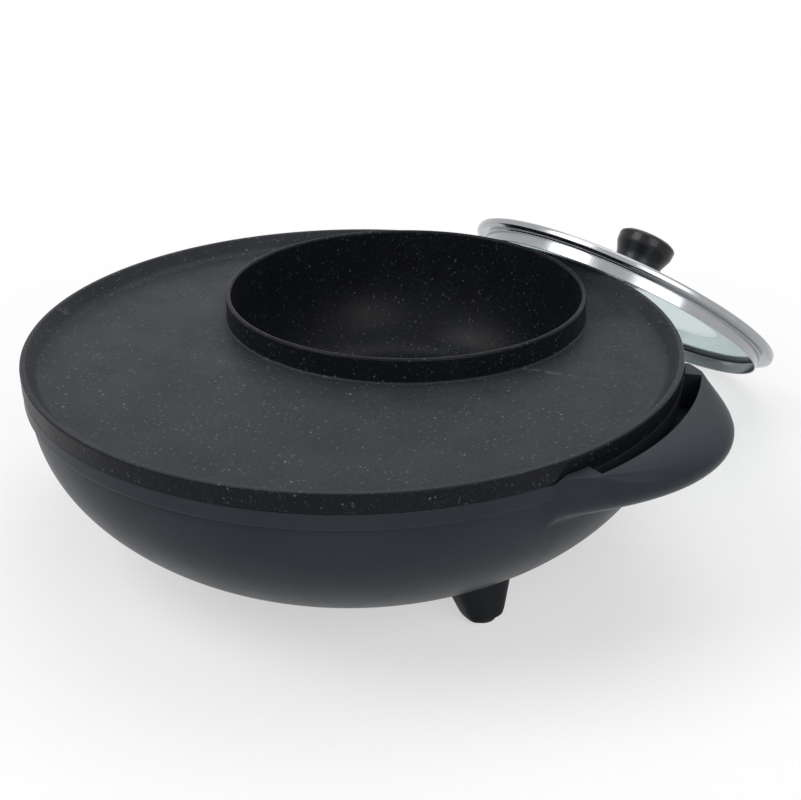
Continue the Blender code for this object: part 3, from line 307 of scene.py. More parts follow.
# Lid
LID_RADIUS = 0.1225
LID_SIDES = 256
LID_SKIRT = 0.1138
LID_FLANGE = 0.0094
LID_SHEET = 0.0010
LID_BEAD = 0.0022
LID_LAND = 0.0120
LID_GLASS = 0.0035
LID_DOME = 0.0140
LID_BEARING = 71.7
LID_SLOPE = radians(52.2)
LID_CENTRE_RADIUS = 0.2711
LID_STAND_GAP = 0.0002
BEAD_FOOT_INSET = 0.0012
BEAD_FOOT_RISE = 0.0002
BEAD_TOP_RISE = 0.0004
BEAD_FOLD_INSET = 0.0008
LID_BAND_ROUNDS = (0.0004, 0.0008, 0.0006, 0.0014, 0.0016, 0.0010, 0.0004, 0.0002, 0.0, 0.0, 0.0006, 0.0004)
KNOB_HEIGHT = 0.0340
KNOB_TOP = 0.0225
KNOB_WAIST = 0.0178
KNOB_BASE = 0.0200
KNOB_CROWN_SHARE = 0.86
KNOB_FLARE_SHARES = (0.985, 1.03)
KNOB_DEPTH_SHARES = (0.32, 0.58, 0.80)
KNOB_CROWN = 0.0016
KNOB_SHOULDER = 0.0036
KNOB_COLLAR = 0.0016
KNOB_ROUNDS = (0.0, 0.0026, 0.0110, 0.0140, 0.0080, 0.0010, 0.0005, 0.0)
KNOB_BORE_DEPTH = 0.0160
LID_SCREW_LENGTH = 0.0210
WASHER_RADIUS = 0.0090
WASHER_THICKNESS = 0.0014
WASHER_ROUNDS = (0.0003, 0.0005, 0.0002, 0.0002)
GLASS_BORE = 0.0032
VENT_OFFSET = 0.0620
VENT_RADIUS = 0.0050
VENT_BORE = 0.0016
VENT_NECK = 0.0034
VENT_RISES = (0.0006, 0.0012)
VENT_ROUNDS = (0.0002, 0.0004, 0.0004, 0.0003, 0.0002, 0.0002, 0.0)

# Camera and light
CAMERA_PLACE = (0.3631, -0.6418, 0.4273)
CAMERA_TILT = radians(64.14)
CAMERA_TURN = radians(27.29)
CAMERA_LENS = 58.2
CAMERA_SENSOR = 36.0
LAMP_TARGET = Vector((0.0, 0.0, 0.08))
LAMPS = {
    "key": ((-0.9, -0.9, 1.5), 1.1, 17.0),
    "fill": ((1.3, -0.8, 1.0), 1.0, 9.0),
    "top": ((0.1, 0.5, 1.8), 1.4, 12.0),
}
FLOOR_RADIUS = 6.0
WHITE = (1.0, 1.0, 1.0, 1.0)

LOOKS = {}


# Points and outlines

def polar(radius, degrees, height=0.0):
    angle = radians(degrees)
    return Vector((radius * cos(angle), radius * sin(angle), height))


def mix(first, last, share):
    return first + (last - first) * share


def smooth(low, high, value):
    share = min(1.0, max(0.0, (value - low) / (high - low)))
    return share * share * (3.0 - 2.0 * share)


def rounded(share):
    """Rise of a quarter circle that starts upright, over the share of its run."""
    rest = 1.0 - min(1.0, max(0.0, share))
    return sqrt(1.0 - rest * rest)


def quarter(steps):
    """Angles from nothing to a right angle, in equal steps."""
    return [pi / 2 * step / steps for step in range(steps + 1)]


def soften(corners, rounds, steps=3):
    """Outline with its corners rounded by the radii in rounds, where 0 leaves one sharp."""
    points = []
    for index, (corner, wanted) in enumerate(zip(corners, rounds)):
        here = Vector(corner)
        if not wanted:
            points.append((here.x, here.y))
            continue
        back = Vector(corners[index - 1]) - here
        ahead = Vector(corners[(index + 1) % len(corners)]) - here
        half = back.angle(ahead) / 2
        reach = min(wanted / tan(half), 0.49 * back.length, 0.49 * ahead.length)
        radius = reach * tan(half)
        middle = here + (back.normalized() + ahead.normalized()).normalized() * radius / sin(half)
        first = here + back.normalized() * reach - middle
        last = here + ahead.normalized() * reach - middle
        start = atan2(first.y, first.x)
        sweep = (atan2(last.y, last.x) - start + pi) % tau - pi
        for step in range(steps + 1):
            angle = start + sweep * step / steps
            points.append((middle.x + radius * cos(angle), middle.y + radius * sin(angle)))
    return points


def level(outline, height):
    return [Vector((x, y, height)) for x, y in outline]


def arc(radius, turns, height, steps):
    return [polar(radius, mix(*turns, step / steps), height) for step in range(steps + 1)]


def plug(radius, top, low):
    return [(0.0, top), (radius, top), (radius, low), (0.0, low)]


def pressed_ring(radius, half_width, slope, low, depth):
    """Corners of a shallow ring pressed upwards from a face at low."""
    outer, inner = radius + half_width, radius - half_width
    return [(outer, low), (outer - slope, low + depth), (inner + slope, low + depth), (inner, low)]


def rounded_rectangle(width, height, corner):
    x, y = width / 2, height / 2
    return soften([(x, -y), (x, y), (-x, y), (-x, -y)], [corner] * 4, 6)


def pot_curve(offset, low, steps=18):
    """Section of a wall that follows the pot's side at an offset, down to its floor."""
    side = POT_RADIUS + offset
    base = POT_FLOOR_RADIUS + offset
    return [(mix(base, side, cos(angle)), mix(FLOOR_UNDER, low, sin(angle)))
            for angle in quarter(steps)]


def bowl_curve(inset=0.0, steps=40):
    """The bowl's section from the band's foot to the base, moved into the wall by inset."""
    points = []
    for angle in quarter(steps):
        run = cos(angle) ** BOWL_POWERS[0]
        fall = sin(angle) ** BOWL_POWERS[1]
        points.append(Vector((mix(BOWL_BASE_RADIUS, BOWL_RADIUS, run), BAND_FOOT * (1.0 - fall))))
    moved = []
    for index, point in enumerate(points):
        along = (points[min(index + 1, steps)] - points[max(index - 1, 0)]).normalized()
        moved.append((point.x + along.y * inset, point.y - along.x * inset))
    return moved


def bowl_radius(height, inset=0.0):
    curve = bowl_curve(inset)
    for upper, lower in zip(curve, curve[1:]):
        if lower[1] <= height <= upper[1]:
            return mix(lower[0], upper[0], (height - lower[1]) / (upper[1] - lower[1]))
    return curve[-1][0] if height < curve[-1][1] else curve[0][0]


# Mesh making

def new_object(name, data):
    obj = bpy.data.objects.new(name, data)
    bpy.context.scene.collection.objects.link(obj)
    return obj


def as_object(mesh, name):
    bmesh.ops.remove_doubles(mesh, verts=mesh.verts, dist=WELD)
    bmesh.ops.recalc_face_normals(mesh, faces=mesh.faces)
    data = bpy.data.meshes.new(name)
    mesh.to_mesh(data)
    mesh.free()
    return new_object(name, data)


def add_rings(mesh, rings, closed=False):
    """Join rows of points; a row of one point closes the surface to a tip."""
    rows = [[mesh.verts.new(point) for point in ring] for ring in rings]
    pairs = list(zip(rows, rows[1:])) + ([(rows[-1], rows[0])] if closed else [])
    for upper, lower in pairs:
        count = max(len(upper), len(lower))
        for step in range(count):
            after = (step + 1) % count
            corners = [upper[step % len(upper)], upper[after % len(upper)], lower[after % len(lower)],
                       lower[step % len(lower)]]
            kept = [vert for index, vert in enumerate(corners) if vert not in corners[:index]]
            if len(kept) > 2:
                mesh.faces.new(kept)
    return rows


def add_solid(mesh, levels):
    rows = add_rings(mesh, levels)
    mesh.faces.new(rows[0])
    mesh.faces.new(rows[-1])


def lathe(name, outline, count=FINE, centre=(0.0, 0.0), loop=False):
    """Surface of revolution; loop joins its last point to its first."""
    middle = Vector((*centre, 0.0))
    turns = [360.0 * (step + 0.5) / count for step in range(count)]
    rings = []
    for radius, height in outline:
        kept = turns if radius > WELD else turns[:1]
        rings.append([middle + polar(radius, turn, height) for turn in kept])
    mesh = bmesh.new()
    add_rings(mesh, rings, loop)
    return as_object(mesh, name)


def loft(name, levels):
    mesh = bmesh.new()
    add_solid(mesh, levels)
    return as_object(mesh, name)


def slab(name, size, corner, edge=KEEN, low=0.0):
    """Block with rounded corners and edges; its thickness runs from low along its own +Z."""
    width, height, depth = size
    profile = [(edge * (1.0 - sin(angle)), edge * (1.0 - cos(angle))) for angle in quarter(4)]
    profile += [(inset, depth - rise) for inset, rise in reversed(profile)]
    levels = []
    for inset, rise in profile:
        ring = rounded_rectangle(width - 2 * inset, height - 2 * inset, max(corner - inset, LEAST_CORNER))
        levels.append(level(ring, low + rise))
    return loft(name, levels)


def tube(name, path, radius, count):
    levels = []
    side = None
    for index, point in enumerate(path):
        along = (path[min(index + 1, len(path) - 1)] - path[max(index - 1, 0)]).normalized()
        if side is None:
            side = along.orthogonal().normalized()
        side = (side - along * side.dot(along)).normalized()
        up = along.cross(side)
        turns = [tau * step / count for step in range(count)]
        levels.append([point + (side * cos(turn) + up * sin(turn)) * radius for turn in turns])
    return loft(name, levels)


def rod(radius, start, end, count=SMALL):
    return tube("rod", [Vector(start), Vector(end)], radius, count)


def post(radius, place, low, high, count=SMALL):
    return rod(radius, (*place[:2], low), (*place[:2], high), count)


def evaluated(obj):
    graph = bpy.context.evaluated_depsgraph_get()
    return bpy.data.meshes.new_from_object(obj.evaluated_get(graph), depsgraph=graph)


def boolean(target, tools, operation):
    """Apply Booleans for good and delete the tools."""
    for tool in tools:
        modifier = target.modifiers.new("shape", "BOOLEAN")
        modifier.operation = operation
        modifier.solver = "EXACT"
        modifier.object = tool
    data = evaluated(target)
    target.modifiers.clear()
    old = target.data
    target.data = data
    bpy.data.meshes.remove(old)
    for tool in tools:
        bpy.data.objects.remove(tool, do_unlink=True)


def cut(target, *tools):
    boolean(target, tools, "DIFFERENCE")


def fuse(target, *tools):
    boolean(target, tools, "UNION")


def move(obj, matrix):
    obj.data.transform(matrix)
    return obj


def shift(obj, x=0.0, y=0.0, z=0.0):
    return move(obj, Matrix.Translation((x, y, z)))


def shade(data, look, sharp):
    """Give a mesh its material, smooth but for its sharp edges."""
    data.materials.clear()
    data.materials.append(LOOKS[look])
    for face in data.polygons:
        face.use_smooth = True
    data.set_sharp_from_angle(angle=radians(sharp))


def finish(obj, body, look, stands_for=None, sharp=32.0, weighted=True):
    """Shade a piece with its material, tie it to its body and hide the node it stands for."""
    shade(obj.data, look, sharp)
    if weighted:
        normals = obj.modifiers.new("normals", "WEIGHTED_NORMAL")
        normals.keep_sharp = True
    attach(obj, body)
    if stands_for:
        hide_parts(stands_for)


# Materials

def node(tree, kind, inputs=None, **settings):
    made = tree.nodes.new("ShaderNode" + kind)
    for key, value in settings.items():
        setattr(made, key, value)
    for key, value in (inputs or {}).items():
        if isinstance(value, bpy.types.NodeSocket):
            tree.links.new(value, made.inputs[key])
        else:
            made.inputs[key].default_value = value
    return made


def new_material(name, **sockets):
    mat = bpy.data.materials.new(name)
    mat.use_nodes = True
    shader = mat.node_tree.nodes["Principled BSDF"]
    for key, value in sockets.items():
        shader.inputs[key.replace("_", " ")].default_value = value
    LOOKS[name] = mat
    return mat.node_tree, shader


def coordinates(tree, scale=(1.0, 1.0, 1.0)):
    place = node(tree, "TexCoord")
    return node(tree, "Mapping", {"Vector": place.outputs["Object"], "Scale": scale}).outputs[0]


def noise(tree, vector, scale, detail=4.0, rough=0.55):
    inputs = {"Vector": vector, "Scale": scale, "Detail": detail, "Roughness": rough}
    return node(tree, "TexNoise", inputs).outputs["Fac"]


def ramp(tree, value, low, high, out_low=0.0, out_high=1.0):
    inputs = {"Value": value, "From Min": low, "From Max": high, "To Min": out_low, "To Max": out_high}
    return node(tree, "MapRange", inputs, clamp=True).outputs[0]


def sums(tree, kind, first, second):
    return node(tree, "Math", {0: first, 1: second}, operation=kind).outputs[0]


def blend(tree, share, first, second):
    made = node(tree, "Mix", {"Factor": share}, data_type="RGBA")
    for index, value in ((6, first), (7, second)):
        if isinstance(value, bpy.types.NodeSocket):
            tree.links.new(value, made.inputs[index])
        else:
            made.inputs[index].default_value = (*value, 1.0)
    return made.outputs[2]


def tinted(colour, factor, lift=0.0):
    return tuple(min(1.0, part * factor + lift) for part in colour)


def surface(tree, shader, colour, gloss):
    tree.links.new(colour, shader.inputs["Base Color"])
    tree.links.new(gloss, shader.inputs["Roughness"])


def bump(tree, shader, height, strength, distance):
    made = node(tree, "Bump", {"Height": height, "Strength": strength, "Distance": distance})
    tree.links.new(made.outputs[0], shader.inputs["Normal"])


def rubbed(tree, place, edge, scale, patches, edge_wear_and_highlight):
    """Share of lighter colour along the convex edges, broken up in patches: partly rubbed wear, partly a
    painted edge highlight.
    """
    share = ramp(tree, node(tree, "NewGeometry").outputs["Pointiness"], *edge)
    return sums(tree, "MULTIPLY", share, ramp(tree, noise(tree, place, scale), *patches, 0.0, edge_wear_and_highlight))


def plastic(name, colour, rough, grain=900.0, depth=0.00004, edge_wear_and_highlight=0.35, mottle=0.12, **sockets):
    """Moulded plastic: fine spark-eroded grain, faint mottling, fingermarks in the gloss, and convex edges
    lightened partly as rubbed wear and partly as a painted highlight.
    """
    tree, shader = new_material(name, **sockets)
    place = coordinates(tree)
    cloud = ramp(tree, noise(tree, place, 38.0), 0.35, 0.65)
    base = blend(tree, cloud, tinted(colour, 1.0 - mottle), colour)
    speck = ramp(tree, noise(tree, place, grain * 2.2, 1.0), 0.62, 0.78, 0.0, 0.35)
    base = blend(tree, speck, base, tinted(colour, 1.35, 0.003))
    # Convex edges lightened: rubbed wear and a painted edge highlight.
    worn_and_highlit = rubbed(tree, place, (0.52, 0.60), 160.0, (0.4, 0.62), edge_wear_and_highlight)
    base = blend(tree, worn_and_highlit, base, tinted(colour, 1.9, 0.012))
    gloss = ramp(tree, noise(tree, place, 14.0, 6.0, 0.65), 0.3, 0.7, rough - 0.05, rough + 0.07)
    surface(tree, shader, base, gloss)
    bump(tree, shader, noise(tree, place, grain, 3.0, 0.6), 0.55, depth)


def metal(name, colour, rough, streak=(40.0, 40.0, 900.0), depth=0.00001, mottle=0.15):
    """Bare metal: fine rolling streaks along one direction, scuffs and slightly cloudy gloss."""
    tree, shader = new_material(name, Metallic=1.0)
    place = coordinates(tree)
    lines = noise(tree, coordinates(tree, streak), 1.0, 5.0, 0.6)
    cloud = ramp(tree, sums(tree, "ADD", lines, noise(tree, place, 60.0, 3.0)), 0.75, 1.25)
    gloss = ramp(tree, sums(tree, "ADD", lines, noise(tree, place, 25.0)), 0.8, 1.2, rough, rough * 1.8)
    surface(tree, shader, blend(tree, cloud, tinted(colour, 1.0 - mottle), colour), gloss)
    bump(tree, shader, lines, 0.35, depth)


def fleck_share(tree, place, scale, rarity, size, amount):
    """Share of pale flecks: a few cells picked by chance, each a small blot with a wavering edge."""
    wobble = node(tree, "TexNoise", {"Vector": place, "Scale": scale * 1.7, "Detail": 2.0})
    offset = node(tree, "VectorMath", {0: wobble.outputs["Color"], 1: (0.36 / scale,) * 3},
                  operation="MULTIPLY").outputs[0]
    warped = node(tree, "VectorMath", {0: place, 1: offset}, operation="ADD").outputs[0]
    cell = node(tree, "TexVoronoi", {"Vector": warped, "Scale": scale, "Randomness": 1.0})
    chance = node(tree, "SeparateColor", {"Color": cell.outputs["Color"]})
    picked = ramp(tree, chance.outputs[0], rarity, rarity + 0.02)
    near = ramp(tree, cell.outputs["Distance"], size, size * 0.3)
    bright = ramp(tree, chance.outputs[1], 0.0, 1.0, 0.25, amount)
    return sums(tree, "MULTIPLY", sums(tree, "MULTIPLY", picked, near), bright)


def stone_coating(name, colour, rough, fleck, **sockets):
    """Cast aluminium under a dark stone-look coating: pale flecks of three sizes in an orange-peel film."""
    tree, shader = new_material(name, **sockets)
    place = coordinates(tree)
    cloud = ramp(tree, noise(tree, place, 45.0, 5.0), 0.3, 0.7)
    base = blend(tree, cloud, tinted(colour, 0.78), colour)
    dust = ramp(tree, noise(tree, place, 1900.0, 2.0, 0.7), 0.60, 0.72, 0.0, 0.4)
    base = blend(tree, dust, base, tinted(colour, 2.2))
    relief = noise(tree, place, 700.0, 4.0)
    for flecks in ((430.0, 0.82, 0.34, 0.75), (850.0, 0.70, 0.32, 0.5), (215.0, 0.88, 0.20, 1.0)):
        spot = fleck_share(tree, place, *flecks)
        base = blend(tree, spot, base, fleck)
        relief = sums(tree, "ADD", relief, sums(tree, "MULTIPLY", spot, 0.6))
    # Convex edges lightened: rubbed wear and a painted edge highlight.
    worn_and_highlit = rubbed(tree, place, (0.53, 0.62), 220.0, (0.42, 0.6), 0.5)
    base = blend(tree, worn_and_highlit, base, tinted(colour, 3.0, 0.02))
    gloss = ramp(tree, noise(tree, place, 20.0, 6.0, 0.6), 0.3, 0.7, rough - 0.06, rough + 0.08)
    surface(tree, shader, base, gloss)
    bump(tree, shader, relief, 0.5, 0.00008)


def clear_glass(name, colour):
    """Tempered glass with a faint tint, wipe marks in its gloss and a trace of roller wave."""
    tree, shader = new_material(name, Transmission_Weight=1.0, IOR=1.5)
    place = coordinates(tree)
    tint = blend(tree, ramp(tree, noise(tree, place, 9.0), 0.3, 0.7), tinted(colour, 0.985), colour)
    smear = noise(tree, coordinates(tree, (30.0, 90.0, 30.0)), 1.0, 6.0, 0.7)
    surface(tree, shader, tint, ramp(tree, smear, 0.45, 0.75, 0.0, 0.015))
    bump(tree, shader, noise(tree, place, 7.0, 1.0), 0.15, 0.0004)


def rubber(name, colour, rough=0.75):
    plastic(name, colour, rough, grain=1500.0, depth=0.00003, edge_wear_and_highlight=0.15, mottle=0.2)


def make_materials():
    dull = {"Specular_IOR_Level": 0.08}
    stone_coating("stone_coating", (0.0275, 0.0295, 0.0335), 0.42, (0.17, 0.18, 0.19), **dull)
    # Darker copy of the coating for the pot, the plate's outer wall and the underside; on the outer wall and
    # underside it is painted shade.
    stone_coating("darker_copy_with_painted_shade", (0.0080, 0.0088, 0.0105), 0.34, (0.12, 0.13, 0.14), **dull)
    plastic("slate_plastic", (0.0250, 0.0290, 0.0350), 0.34, grain=1500.0, depth=0.00002, **dull)
    plastic("cover_plastic", (0.020, 0.020, 0.022), 0.55, grain=600.0, depth=0.00006, **dull)
    plastic("panel_plastic", (0.010, 0.010, 0.012), 0.22, grain=1400.0, depth=0.00001, **dull)
    plastic("foot_plastic", (0.013, 0.014, 0.017), 0.42, grain=700.0, **dull)
    rubber("pad_rubber", (0.020, 0.020, 0.020))
    plastic("dial_plastic", (0.012, 0.012, 0.014), 0.24, grain=1200.0, depth=0.00001, **dull)
    plastic("knob_plastic", (0.007, 0.008, 0.010), 0.26, grain=1400.0, depth=0.000006, edge_wear_and_highlight=0.2,
            Specular_IOR_Level=0.25)
    plastic("inlet_plastic", (0.016, 0.016, 0.016), 0.45, **dull)
    plastic("white_print", (0.72, 0.73, 0.72), 0.45, grain=2500.0, edge_wear_and_highlight=0.0)
    plastic("lamp_plastic", (0.45, 0.02, 0.012), 0.12, edge_wear_and_highlight=0.1, Transmission_Weight=0.35)
    plastic("thermostat_body", (0.66, 0.62, 0.54), 0.5)
    plastic("white_ceramic", (0.76, 0.75, 0.71), 0.3, grain=400.0)
    plastic("earth_lead_sleeve", (0.12, 0.36, 0.06), 0.42)
    plastic("live_lead_sleeve", (0.20, 0.07, 0.03), 0.42)
    plastic("neutral_lead_sleeve", (0.03, 0.12, 0.42), 0.42)
    rubber("washer_silicone", (0.35, 0.35, 0.34), 0.55)
    metal("screw_steel", (0.58, 0.58, 0.60), 0.24, (300.0, 300.0, 300.0))
    metal("polished_steel", (0.66, 0.66, 0.67), 0.10, (200.0, 200.0, 900.0))
    metal("lid_steel", (0.345, 0.355, 0.37), 0.13, (150.0, 150.0, 150.0), 0.000002, 0.06)
    metal("shield_steel", (0.50, 0.50, 0.51), 0.30, (500.0, 1500.0, 500.0), 0.000004, 0.10)
    metal("heater_sheath", (0.20, 0.185, 0.17), 0.38, (300.0, 300.0, 300.0), mottle=0.4)
    metal("clip_steel", (0.52, 0.52, 0.53), 0.30, (900.0, 60.0, 60.0))
    metal("sensor_copper", (0.68, 0.34, 0.19), 0.28, (400.0, 400.0, 400.0))
    plastic("glass_margin", (0.26, 0.285, 0.285), 0.35, edge_wear_and_highlight=0.0, mottle=0.05)
    clear_glass("lid_glass_clear", (0.60, 0.71, 0.70))


# Plate and pot

def cooking_plate():
    """Cast plate with its rolled rim, and the pot that stands through it with a rounded lip."""
    inner = PLATE_RADIUS - PLATE_WALL
    foot_radius = inner - PLATE_RIM_RUN
    corners = [(0.0, FLOOR_TOP), (foot_radius, FLOOR_TOP), (inner, RIM_TOP), (PLATE_RADIUS, RIM_TOP),
               (PLATE_RADIUS, WALL_FOOT), (inner, WALL_FOOT), (foot_radius, FLOOR_UNDER), (0.0, FLOOR_UNDER)]
    plate = lathe("plate_top", soften(corners, PLATE_ROUNDS, 8), PLATE_SIDES)
    side = POT_RADIUS
    wall = side - POT_WALL
    top = POT_LIP_TOP
    lip = soften([(wall, top - POT_LIP_DEPTHS[0]), (wall, top), (side, top), (side, top - POT_LIP_DEPTHS[1])],
                 POT_LIP_ROUNDS, 6)
    fillet = soften([(side, FLOOR_TOP + COLLAR_RISE), (side, FLOOR_TOP - COLLAR_SINK),
                     (side + COLLAR_SPREAD, FLOOR_TOP - 2 * COLLAR_SINK)], COLLAR_ROUNDS, 6)[1:]
    outline = [(0.0, POT_FLOOR)] + pot_curve(-POT_WALL, POT_FLOOR)[::-1] + lip + fillet
    outline += pot_curve(0.0, POT_UNDER) + [(0.0, POT_UNDER)]
    room = plug(wall + POT_OVERLAP, FLOOR_TOP + OVERRUN, FLOOR_UNDER - OVERRUN)
    cut(plate, lathe("pot_room", room, POT_SIDES, POT_CENTRE))
    fuse(plate, lathe("pot", outline, POT_SIDES, POT_CENTRE))
    finish(plate, "plate", "stone_coating", "cooking_plate", sharp=38.0)
    # The pot, the plate's outer wall and the underside take the darker copy of the coating; on the outer wall
    # and underside it is painted shade.
    plate.data.materials.append(LOOKS["darker_copy_with_painted_shade"])
    for face in plate.data.polygons:
        x, y, z = face.center
        on_pot = hypot(x - POT_CENTRE[0], y - POT_CENTRE[1]) < side + COAT_MARGINS[0]
        on_shaded_outer_wall = hypot(x, y) > PLATE_RADIUS - COAT_MARGINS[1]
        face.material_index = int(on_pot or on_shaded_outer_wall or z < FLOOR_UNDER - SEAT_GAP)


# Housing

def grip_radius(azimuth, height, top):
    """Radius of the grip's surface, and how strongly it fairs into the bowl."""
    share = (azimuth - GRIP_AZIMUTH) / GRIP_HALF_ANGLE
    if abs(share) >= 1.0:
        return 0.0, 0.0
    bulge = cos(pi / 2 * share)
    root = min(PLATE_RADIUS, bowl_radius(height)) - GRIP_END_INSET
    full = root + GRIP_REACH * bulge
    shoulder = min(full, PLATE_RADIUS - GRIP_END_INSET + GRIP_SHOULDER * bulge ** GRIP_SHOULDER_POWER)
    depth = top - height
    if depth < GRIP_CROWN_HEIGHT:
        radius = mix(shoulder, full, rounded(depth / GRIP_CROWN_HEIGHT))
    else:
        radius = mix(root, full, rounded(1.0 - (depth - GRIP_CROWN_HEIGHT) / GRIP_TUCK_HEIGHT))
    return radius, smooth(0.0, GRIP_FADE_SHARE, 1.0 - abs(share))


def shell_radius(azimuth, height, top):
    """Outer radius of the housing with its band, bowl and grip."""
    bowl = bowl_radius(height)
    if height > BAND_FOOT:
        bowl = mix(BOWL_RADIUS, BAND_RADIUS, rounded((height - BAND_FOOT) / BAND_EDGE))
    grip, fairing = grip_radius(azimuth, height, top)
    below = smooth(0.0, GRIP_FAIRING_DEPTH, top - height)
    width = GRIP_FAIRING * fairing * mix(GRIP_FAIRING_SHARE, 1.0, below)
    if width <= 0.0:
        return max(bowl, grip)
    overlap = max(width - abs(bowl - grip), 0.0) / width
    return max(bowl, grip) + overlap * overlap * width / 4


def shell_azimuths():
    """Turns round the housing, closer together over the grip."""
    azimuths = [-180.0]
    while azimuths[-1] < 180.0:
        over_grip = abs(azimuths[-1] - GRIP_AZIMUTH) < GRIP_HALF_ANGLE + 1.0
        azimuths.append(azimuths[-1] + (0.5 if over_grip else 1.5))
    return azimuths[:-1]


def housing_shell():
    """Closed solid of bowl and grip as one faired skin."""
    crown = [1.0 - cos(angle) for angle in quarter(10)]
    lower = [BAND_FOOT + BAND_EDGE * (1.0 - cos(angle)) for angle in quarter(8)[7:0:-1]]
    lower += [BAND_FOOT - BAND_SHADOW * step / 14 for step in range(15)]
    lower += [height for _, height in bowl_curve(0.0, 56) if height < lower[-1] - RING_GAP]
    columns = []
    for azimuth in shell_azimuths():
        bulge = cos(pi / 2 * min(1.0, abs(azimuth - GRIP_AZIMUTH) / GRIP_HALF_ANGLE))
        top = mix(HOUSING_TOP, GRIP_TOP, smooth(*GRIP_LIFT_SHARES, bulge))
        room = mix(BAND_RADIUS - HOUSING_EDGE, PLATE_ROOM, smooth(*GRIP_ROOM_SHARES, bulge))
        column = [polar(room, azimuth, HOUSING_TOP), polar(room, azimuth, top)]
        for height in [mix(top, BAND_FOOT + BAND_EDGE, share) for share in crown] + lower:
            edge = HOUSING_EDGE * (1.0 - rounded((top - height) / HOUSING_EDGE))
            least = room + KEEN if height > HOUSING_TOP - WELD else 0.0
            column.append(polar(max(shell_radius(azimuth, height, top) - edge, least), azimuth, height))
        columns.append(column)
    mesh = bmesh.new()
    add_rings(mesh, [[Vector((0.0, 0.0, HOUSING_TOP))], *zip(*columns), [Vector((0.0, 0.0, 0.0))]])
    return as_object(mesh, "housing_shell")


def slot_cutter():
    """Finger slot between the bowl and the grip, down to its floor."""
    turns = [GRIP_AZIMUTH + SLOT_HALF_ANGLE * (step / 24 - 1) for step in range(49)]
    levels = []
    for height in [SLOT_FLOOR + SLOT_STEP * step for step in range(6)] + list(SLOT_UPPER_HEIGHTS):
        inner = bowl_radius(height)
        if height > HOUSING_TOP - SLOT_MARGIN:
            inner = PLATE_RADIUS
        elif height > BAND_FOOT - SLOT_MARGIN:
            inner = BAND_RADIUS
        outer = [SLOT_OUTER] * len(turns)
        if height < GRIP_TOP - GRIP_CROWN_HEIGHT:
            outer = [min(SLOT_OUTER, shell_radius(turn, height, GRIP_TOP) - SLOT_SKIN) for turn in turns]
        ring = [polar(radius, turn, height) for radius, turn in zip(outer, turns)]
        levels.append(ring + [polar(inner + SLOT_GAP, turn, height) for turn in reversed(turns)])
    return loft("slot_cutter", levels)


def panel_place(depth=0.0, side=0.0, height=PANEL_HEIGHT):
    """Frame on the panel's face: +X to the right as one looks at it, +Y up, +Z out; depth runs inwards."""
    out = Matrix(((0.0, 0.0, -1.0), (-1.0, 0.0, 0.0), (0.0, 1.0, 0.0))).to_4x4()
    out.translation = (depth - PANEL_FACE, side, height)
    return out


def inlet_place(depth=0.0, side=0.0):
    """Frame on the inlet's face, made as the panel's."""
    up = Vector((0.0, 0.0, 1.0))
    out = polar(1.0, INLET_AZIMUTH)
    right = up.cross(out)
    frame = Matrix((right, up, out)).transposed().to_4x4()
    frame.translation = out * (INLET_FACE - depth) + right * side + up * INLET_HEIGHT
    return frame


def panel_rod(radius, side, height=PANEL_HEIGHT, depth=OVERRUN, count=SMALL):
    """Rod through the panel's face, down to a depth."""
    return rod(radius, (-PANEL_FACE - OVERRUN, side, height), (depth - PANEL_FACE, side, height), count)


def block(place, size, grow, deep, corner, edge=KEEN, proud=0.0):
    """Block behind a face: a size grown all round, reaching deep into it and standing proud of it."""
    size = (size[0] + 2 * grow, size[1] + 2 * grow, deep + proud)
    return move(slab("block", size, corner, edge), place(deep))


def cavity_outline():
    throat = BAND_RADIUS - PLATE_WALL
    ledge_radius = bowl_radius(LEDGE_TOP, HOUSING_WALL) - LEDGE_WIDTH
    foot_height = LEDGE_TOP - LEDGE_HEIGHT
    seat = COVER_THICKNESS + SEAT_GAP
    shelf = seat + COVER_LEDGE[1]
    opening = COVER_RADIUS + COVER_GAP
    points = [(0.0, HOUSING_TOP + OVERRUN), (throat, HOUSING_TOP + OVERRUN), (throat, LEDGE_TOP),
              (ledge_radius, LEDGE_TOP), (ledge_radius, foot_height),
              (bowl_radius(foot_height, HOUSING_WALL), foot_height)]
    points += [point for point in bowl_curve(HOUSING_WALL) if shelf < point[1] < foot_height]
    points += [(bowl_radius(shelf, HOUSING_WALL), shelf), (opening - COVER_LEDGE[0], shelf),
               (opening - COVER_LEDGE[0], seat), (opening, seat), (opening, -OVERRUN), (0.0, -OVERRUN)]
    return points


def housing_cavity():
    """Room inside the housing, around its foot bosses and the backs of the panel and the inlet."""
    cavity = lathe("housing_cavity", cavity_outline(), CAVITY_SIDES)
    well = POT_RADIUS + SHIELD_POT_GAP + SHIELD_SHEET + LEDGE_NOTCH_GAP
    fuse(cavity, post(well, POT_CENTRE, LEDGE_TOP - LEDGE_HEIGHT - SEAT_GAP, LEDGE_TOP + SEAT_GAP, 120))
    bosses = [post(FOOT_BOSS[0], polar(FOOT_CENTRES[1], degrees), 0.0, FOOT_BOSS[1])
              for degrees in FOOT_AZIMUTHS.values()]
    cut(cavity, *bosses,
        block(panel_place, PANEL_SIZE, PANEL_FRAME, PANEL_BACK_DEPTH, FRAME_CORNER, FRAME_EDGES[1]),
        block(inlet_place, INLET_FLANGE, INLET_BOSS_WALL, INLET_BOSS_DEPTH, FRAME_CORNER, FRAME_EDGES[1]))
    return cavity


